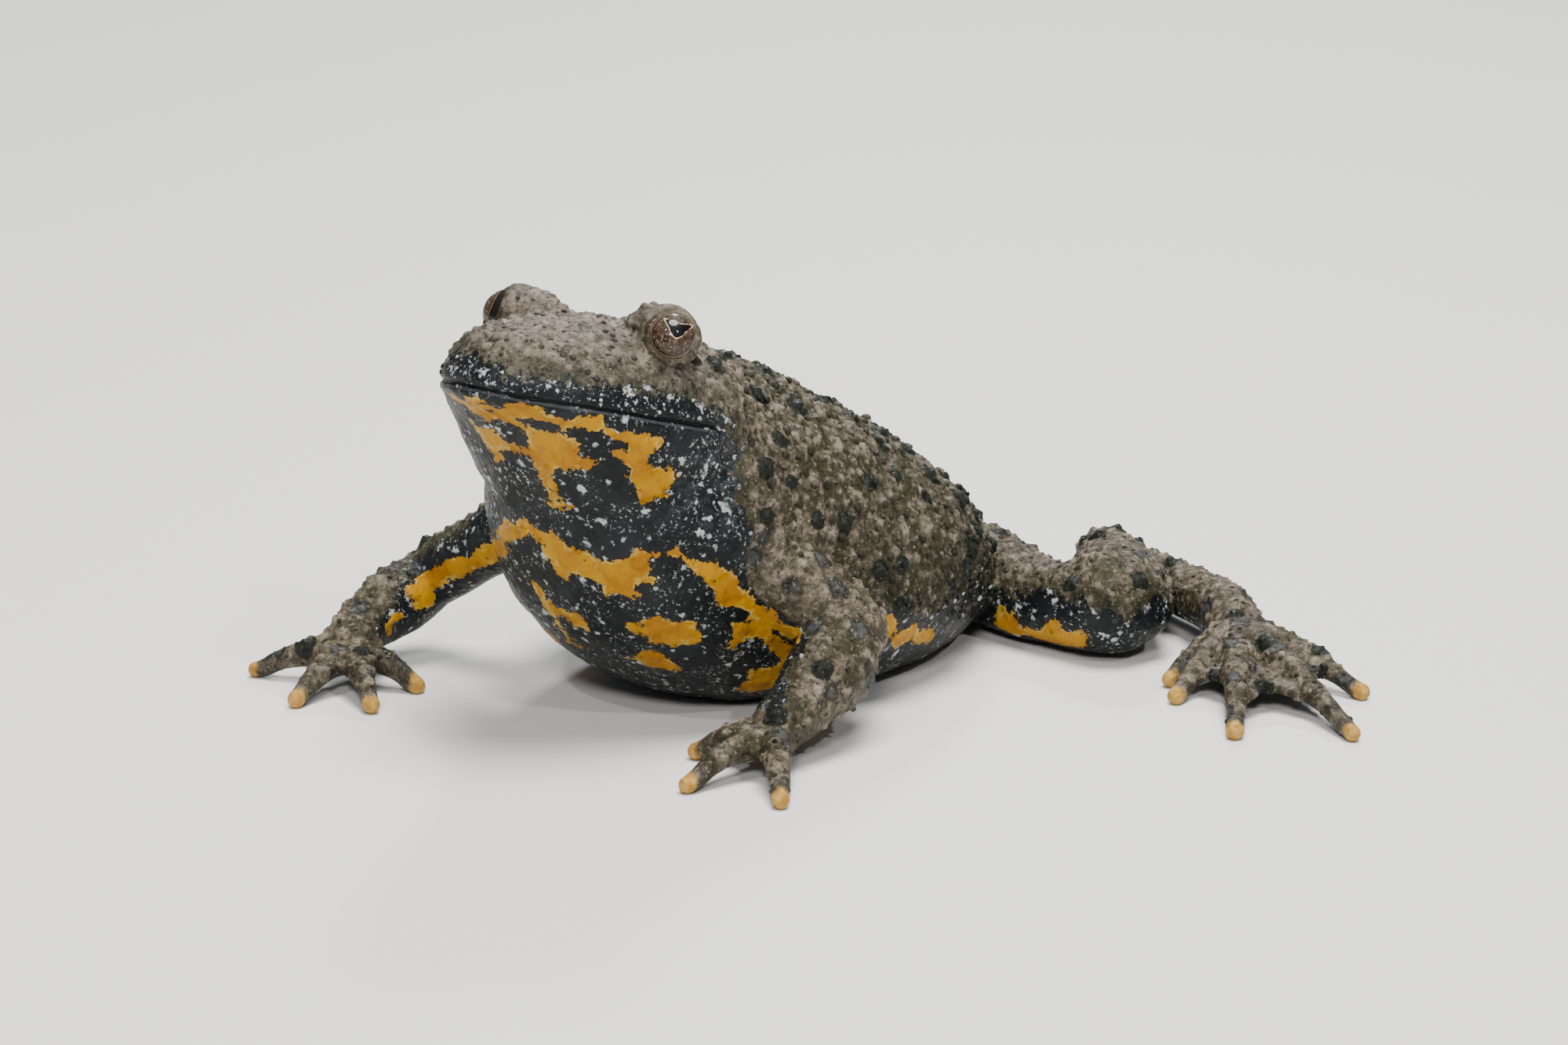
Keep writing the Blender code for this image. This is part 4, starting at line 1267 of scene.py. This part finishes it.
def skin_material(name, group, cover, relief):
    """Skin under a thin wet coat, whose own relief is stronger so that it glints."""
    material, t, shader = new_material(name)
    pattern = t.node("ShaderNodeGroup", {}, node_tree=group)
    t.fill(pattern, {"Edge Raggedness": RAGGEDNESS, "Speck Cover": cover})
    colour, rough, height = [Value(t, socket) for socket in pattern.outputs]
    looks = {
        "Base Color": colour,
        "Roughness": rough,
        "Normal": t.bump(height, 0.85, relief),
        "Coat Normal": t.bump(height, 1.0, 1.4 * relief),
        "Specular IOR Level": 0.08,
        "Coat Weight": 0.15,
        "Coat Roughness": 0.08,
    }
    t.fill(shader, looks)
    return material


def eye_material():
    """Bronze iris with dark flecks, a dark heart-shaped pupil with a thin gold rim, under a wet surface."""
    material, t, shader = new_material("wet_eye")
    across = t.field("iris_across")
    height = t.field("iris_up")
    reach = t.length(across, height)
    # The pupil is a rounded triangle, widest above
    x = across - 0.12
    x = t.math("SQRT", x * x + 0.014)
    y = height - 0.16
    heart = t.math("SMOOTH_MAX", x * 0.82 + y * -0.57, y + (0.12 - x) * 0.35, 0.24)
    pupil = t.math("SMOOTH_MIN", t.length(x, y) - 0.27, heart - 0.25, 0.1)
    upper = t.step(height + t.noise(0.6, 2.0, 0.5) * 0.5, 0.1, 0.55)
    rim = t.step(pupil, 0.048, 0.03) * t.clouds(0.5, 2.0, 0.5, 0.38, 0.48, 0.029)
    layers = [
        (t.clouds(0.22, 4.0, 0.7, 0.4, 0.62), IRIS_BRONZE),
        (upper * 0.85, t.mix(t.clouds(0.3, 3.0, 0.7, 0.38, 0.62, 0.019), IRIS_SHADE, IRIS_SHEEN)),
        (t.clouds(0.11, 3.0, 0.7, 0.55, 0.62, 0.023) * 0.8, IRIS_DARK),
        (t.clouds(0.15, 3.0, 0.7, 0.6, 0.66, 0.041) * 0.7, IRIS_SPARK),
        # A dark ring, a bronze hoop and the dark edge, from inside outwards
        (t.step(reach, 0.73, 0.76) * t.step(reach, 0.80, 0.78), IRIS_RING),
        (t.step(reach, 0.795, 0.81) * t.step(reach, 0.845, 0.83) * 0.7, IRIS_HOOP),
        (t.step(reach, 0.84, 0.86), EYE_EDGE),
        (rim * 0.85, PUPIL_GOLD),
        (t.step(pupil, 0.018, 0.0), PUPIL_BLACK),
    ]
    looks = {
        "Base Color": t.paint(IRIS_DARK, layers),
        "Roughness": 0.45,
        "Specular IOR Level": 0.1,
        "Coat Weight": 0.55,
        "Coat Roughness": 0.02,
    }
    t.fill(shader, looks)
    return material


def tubercle_tree(material):
    """Small skin bumps scattered over a surface where its cover field allows them, as Geometry Nodes."""
    sockets = [
        ("INPUT", "Geometry", "Geometry"),
        ("INPUT", "Spacing", "Float", 0.5 * MM),
        ("INPUT", "Smallest", "Float", 0.1 * MM),
        ("INPUT", "Largest", "Float", 0.3 * MM),
        ("INPUT", "Flatness", "Float", 0.75),
        ("INPUT", "Seed", "Int", SEED),
        ("INPUT", "Cover Field", "String", "cover_trunk"),
        ("INPUT", "Density", "Float", BUMP_DENSITY),
        ("OUTPUT", "Geometry", "Geometry"),
    ]
    t = new_group("skin tubercles", "GeometryNodeTree", sockets)
    entry = t.entries()
    name = {"Name": entry["Cover Field"]}
    sown = {
        "Mesh": entry["Geometry"],
        "Distance Min": entry["Spacing"],
        "Density Max": entry["Density"],
        "Density Factor": t.value("GeometryNodeInputNamedAttribute", name, "Attribute", data_type="FLOAT"),
        "Seed": entry["Seed"],
    }
    spread = t.node("GeometryNodeDistributePointsOnFaces", sown, distribute_method="POISSON")
    draw = t.value("FunctionNodeRandomValue", {"Seed": entry["Seed"]}, 1, data_type="FLOAT")
    reach = entry["Smallest"] + t.math("POWER", draw, 1.9) * (entry["Largest"] - entry["Smallest"])
    ball = {"Segments": BUMP_SIDES, "Rings": BUMP_RINGS, "Radius": 1.0}
    placed = {
        "Points": Value(t, spread.outputs["Points"]),
        "Instance": t.value("GeometryNodeMeshUVSphere", ball, "Mesh"),
        "Rotation": Value(t, spread.outputs["Rotation"]),
        "Scale": t.value("ShaderNodeCombineXYZ", {0: reach, 1: reach, 2: reach * entry["Flatness"]}),
    }
    bumps = t.value("GeometryNodeInstanceOnPoints", placed, "Instances")
    toned = {"Geometry": bumps, "Name": "tone", "Value": draw}
    bumps = t.value("GeometryNodeStoreNamedAttribute", toned, data_type="FLOAT", domain="INSTANCE")
    bumps = t.value("GeometryNodeRealizeInstances", {"Geometry": bumps})
    bumps = t.value("GeometryNodeSetShadeSmooth", {"Geometry": bumps})
    bumps = t.value("GeometryNodeSetMaterial", {"Geometry": bumps, "Material": material})
    t.node("NodeGroupOutput", {"Geometry": bumps})
    return t.tree


def grow_tubercles(skin, word, tree):
    """A plain mesh of the bumps that the tree puts on this part of the skin."""
    piece = bpy.data.objects.new(f"tubercles_{word}", skin.data.copy())
    bpy.context.scene.collection.objects.link(piece)
    grow = piece.modifiers.new("grow", "NODES")
    grow.node_group = tree
    sockets = {item.name: item.identifier for item in tree.interface.items_tree if item.in_out == "INPUT"}
    titles = ("Spacing", "Smallest", "Largest", "Flatness", "Seed", "Cover Field")
    for title, value in zip(titles, (*TUBERCLES[word], f"cover_{word}")):
        grow[sockets[title]] = value
    return settle(piece)


def build_eye(side, name, material):
    across, up, out = eye_frame(side)
    centre = eye_centre(side)
    bm = bmesh.new()
    bmesh.ops.create_uvsphere(bm, u_segments=72, v_segments=40, radius=EYE_RADIUS)
    turn = Matrix((across, up, out)).transposed()
    for vert in bm.verts:
        vert.co = turn @ vert.co
    bmesh.ops.translate(bm, vec=Vector(centre), verts=bm.verts)
    eye = make_object(name, bm, material)
    away = (mesh_values(eye.data.vertices, "co", 3) / MM - centre) / EYE_RADIUS
    front = away @ out > 0
    write_fields(
        eye,
        {
            "iris_across": np.where(front, away @ across * side - GAZE[side], 2.0),
            "iris_up": np.where(front, away @ up, 2.0),
        },
    )
    return eye


def build_lid(side, name, material):
    """A rounded rim of skin round the eye, sunk into the mound that carries it."""
    across, up, out = eye_frame(side)
    rings = []
    for turn in turns(SIDES):
        spoke = across * math.cos(turn) + up * math.sin(turn)
        ripple = 0.02 * math.sin(turn * 7) + 0.015 * math.sin(turn * 13 + 1)
        ring = []
        for angle, reach in LID_SECTION:
            bend = math.radians(angle)
            way = out * math.cos(bend) + spoke * math.sin(bend)
            ring.append(eye_centre(side) + way * (reach + ripple))
        rings.append(ring)
    bm = bmesh.new()
    loft(bm, rings, closed=True)
    lid = make_object(name, bm, material)
    plain = {"orange": -9.0, "under": -6.0, "tips": 9.0, "lip": 3.0}
    write_fields(lid, {field: np.full(len(lid.data.vertices), value) for field, value in plain.items()})
    return lid


def place_camera():
    data = bpy.data.cameras.new("photo_camera")
    data.lens = LENS
    data.sensor_width = SENSOR
    data.clip_start = 0.005
    data.clip_end = 10
    camera = bpy.data.objects.new("photo_camera", data)
    turn = Matrix(view_axes()).transposed()
    camera.matrix_world = Matrix.Translation(Vector(view_place()) * MM) @ turn.to_4x4()
    bpy.context.scene.collection.objects.link(camera)
    bpy.context.scene.camera = camera


def add_lamp(name, place, aim, size, power_w, tint):
    data = bpy.data.lights.new(name, "AREA")
    data.shape = "DISK"
    data.size = size
    data.energy = power_w
    data.color = tint
    lamp = bpy.data.objects.new(name, data)
    lamp.location = place
    way = Vector((0, 0, aim)) - Vector(place)
    lamp.rotation_euler = way.to_track_quat("-Z", "Y").to_euler()
    bpy.context.scene.collection.objects.link(lamp)


def build_stage():
    """A pale floor just under the toad, soft light all round, and the lamps."""
    bm = bmesh.new()
    for x, y in ((-3000, -3000), (3000, -3000), (3000, 3000), (-3000, 3000)):
        bm.verts.new((x, y, -0.02))
    bm.faces.new(bm.verts)
    material, t, shader = new_material("pale_floor")
    t.fill(shader, {"Base Color": FLOOR_GREY, "Roughness": 0.65})
    make_object("pale_floor", bm, material)
    world = bpy.data.worlds.new("studio")
    bpy.context.scene.world = world
    world.use_nodes = True
    t.fill(world.node_tree.nodes["Background"], {"Color": STUDIO_LIGHT, "Strength": 0.14})
    for name, lamp in LAMPS.items():
        add_lamp(name, *lamp)


def put_on(obj):
    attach(obj, "root")


def main():
    skin = build_skin()
    group = skin_group()
    finish = skin_material("toad_skin", group, 1.0, 0.14)
    skin.data.materials.clear()
    skin.data.materials.append(finish)
    tree = tubercle_tree(finish)
    for word in TUBERCLES:
        put_on(grow_tubercles(skin, word, tree))
    flesh = [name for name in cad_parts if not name.startswith("eye")]
    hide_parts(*flesh)
    put_on(skin)
    eye_finish = eye_material()
    lid_finish = skin_material("eyelid_skin", group, 0.0, 0.06)
    for side, word in ((1, "left"), (-1, "right")):
        eye = build_eye(side, f"eyeball_{word}", eye_finish)
        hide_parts(f"eye_{word}")
        put_on(eye)
        put_on(build_lid(side, f"eyelid_{word}", lid_finish))
    build_stage()
    place_camera()


main()
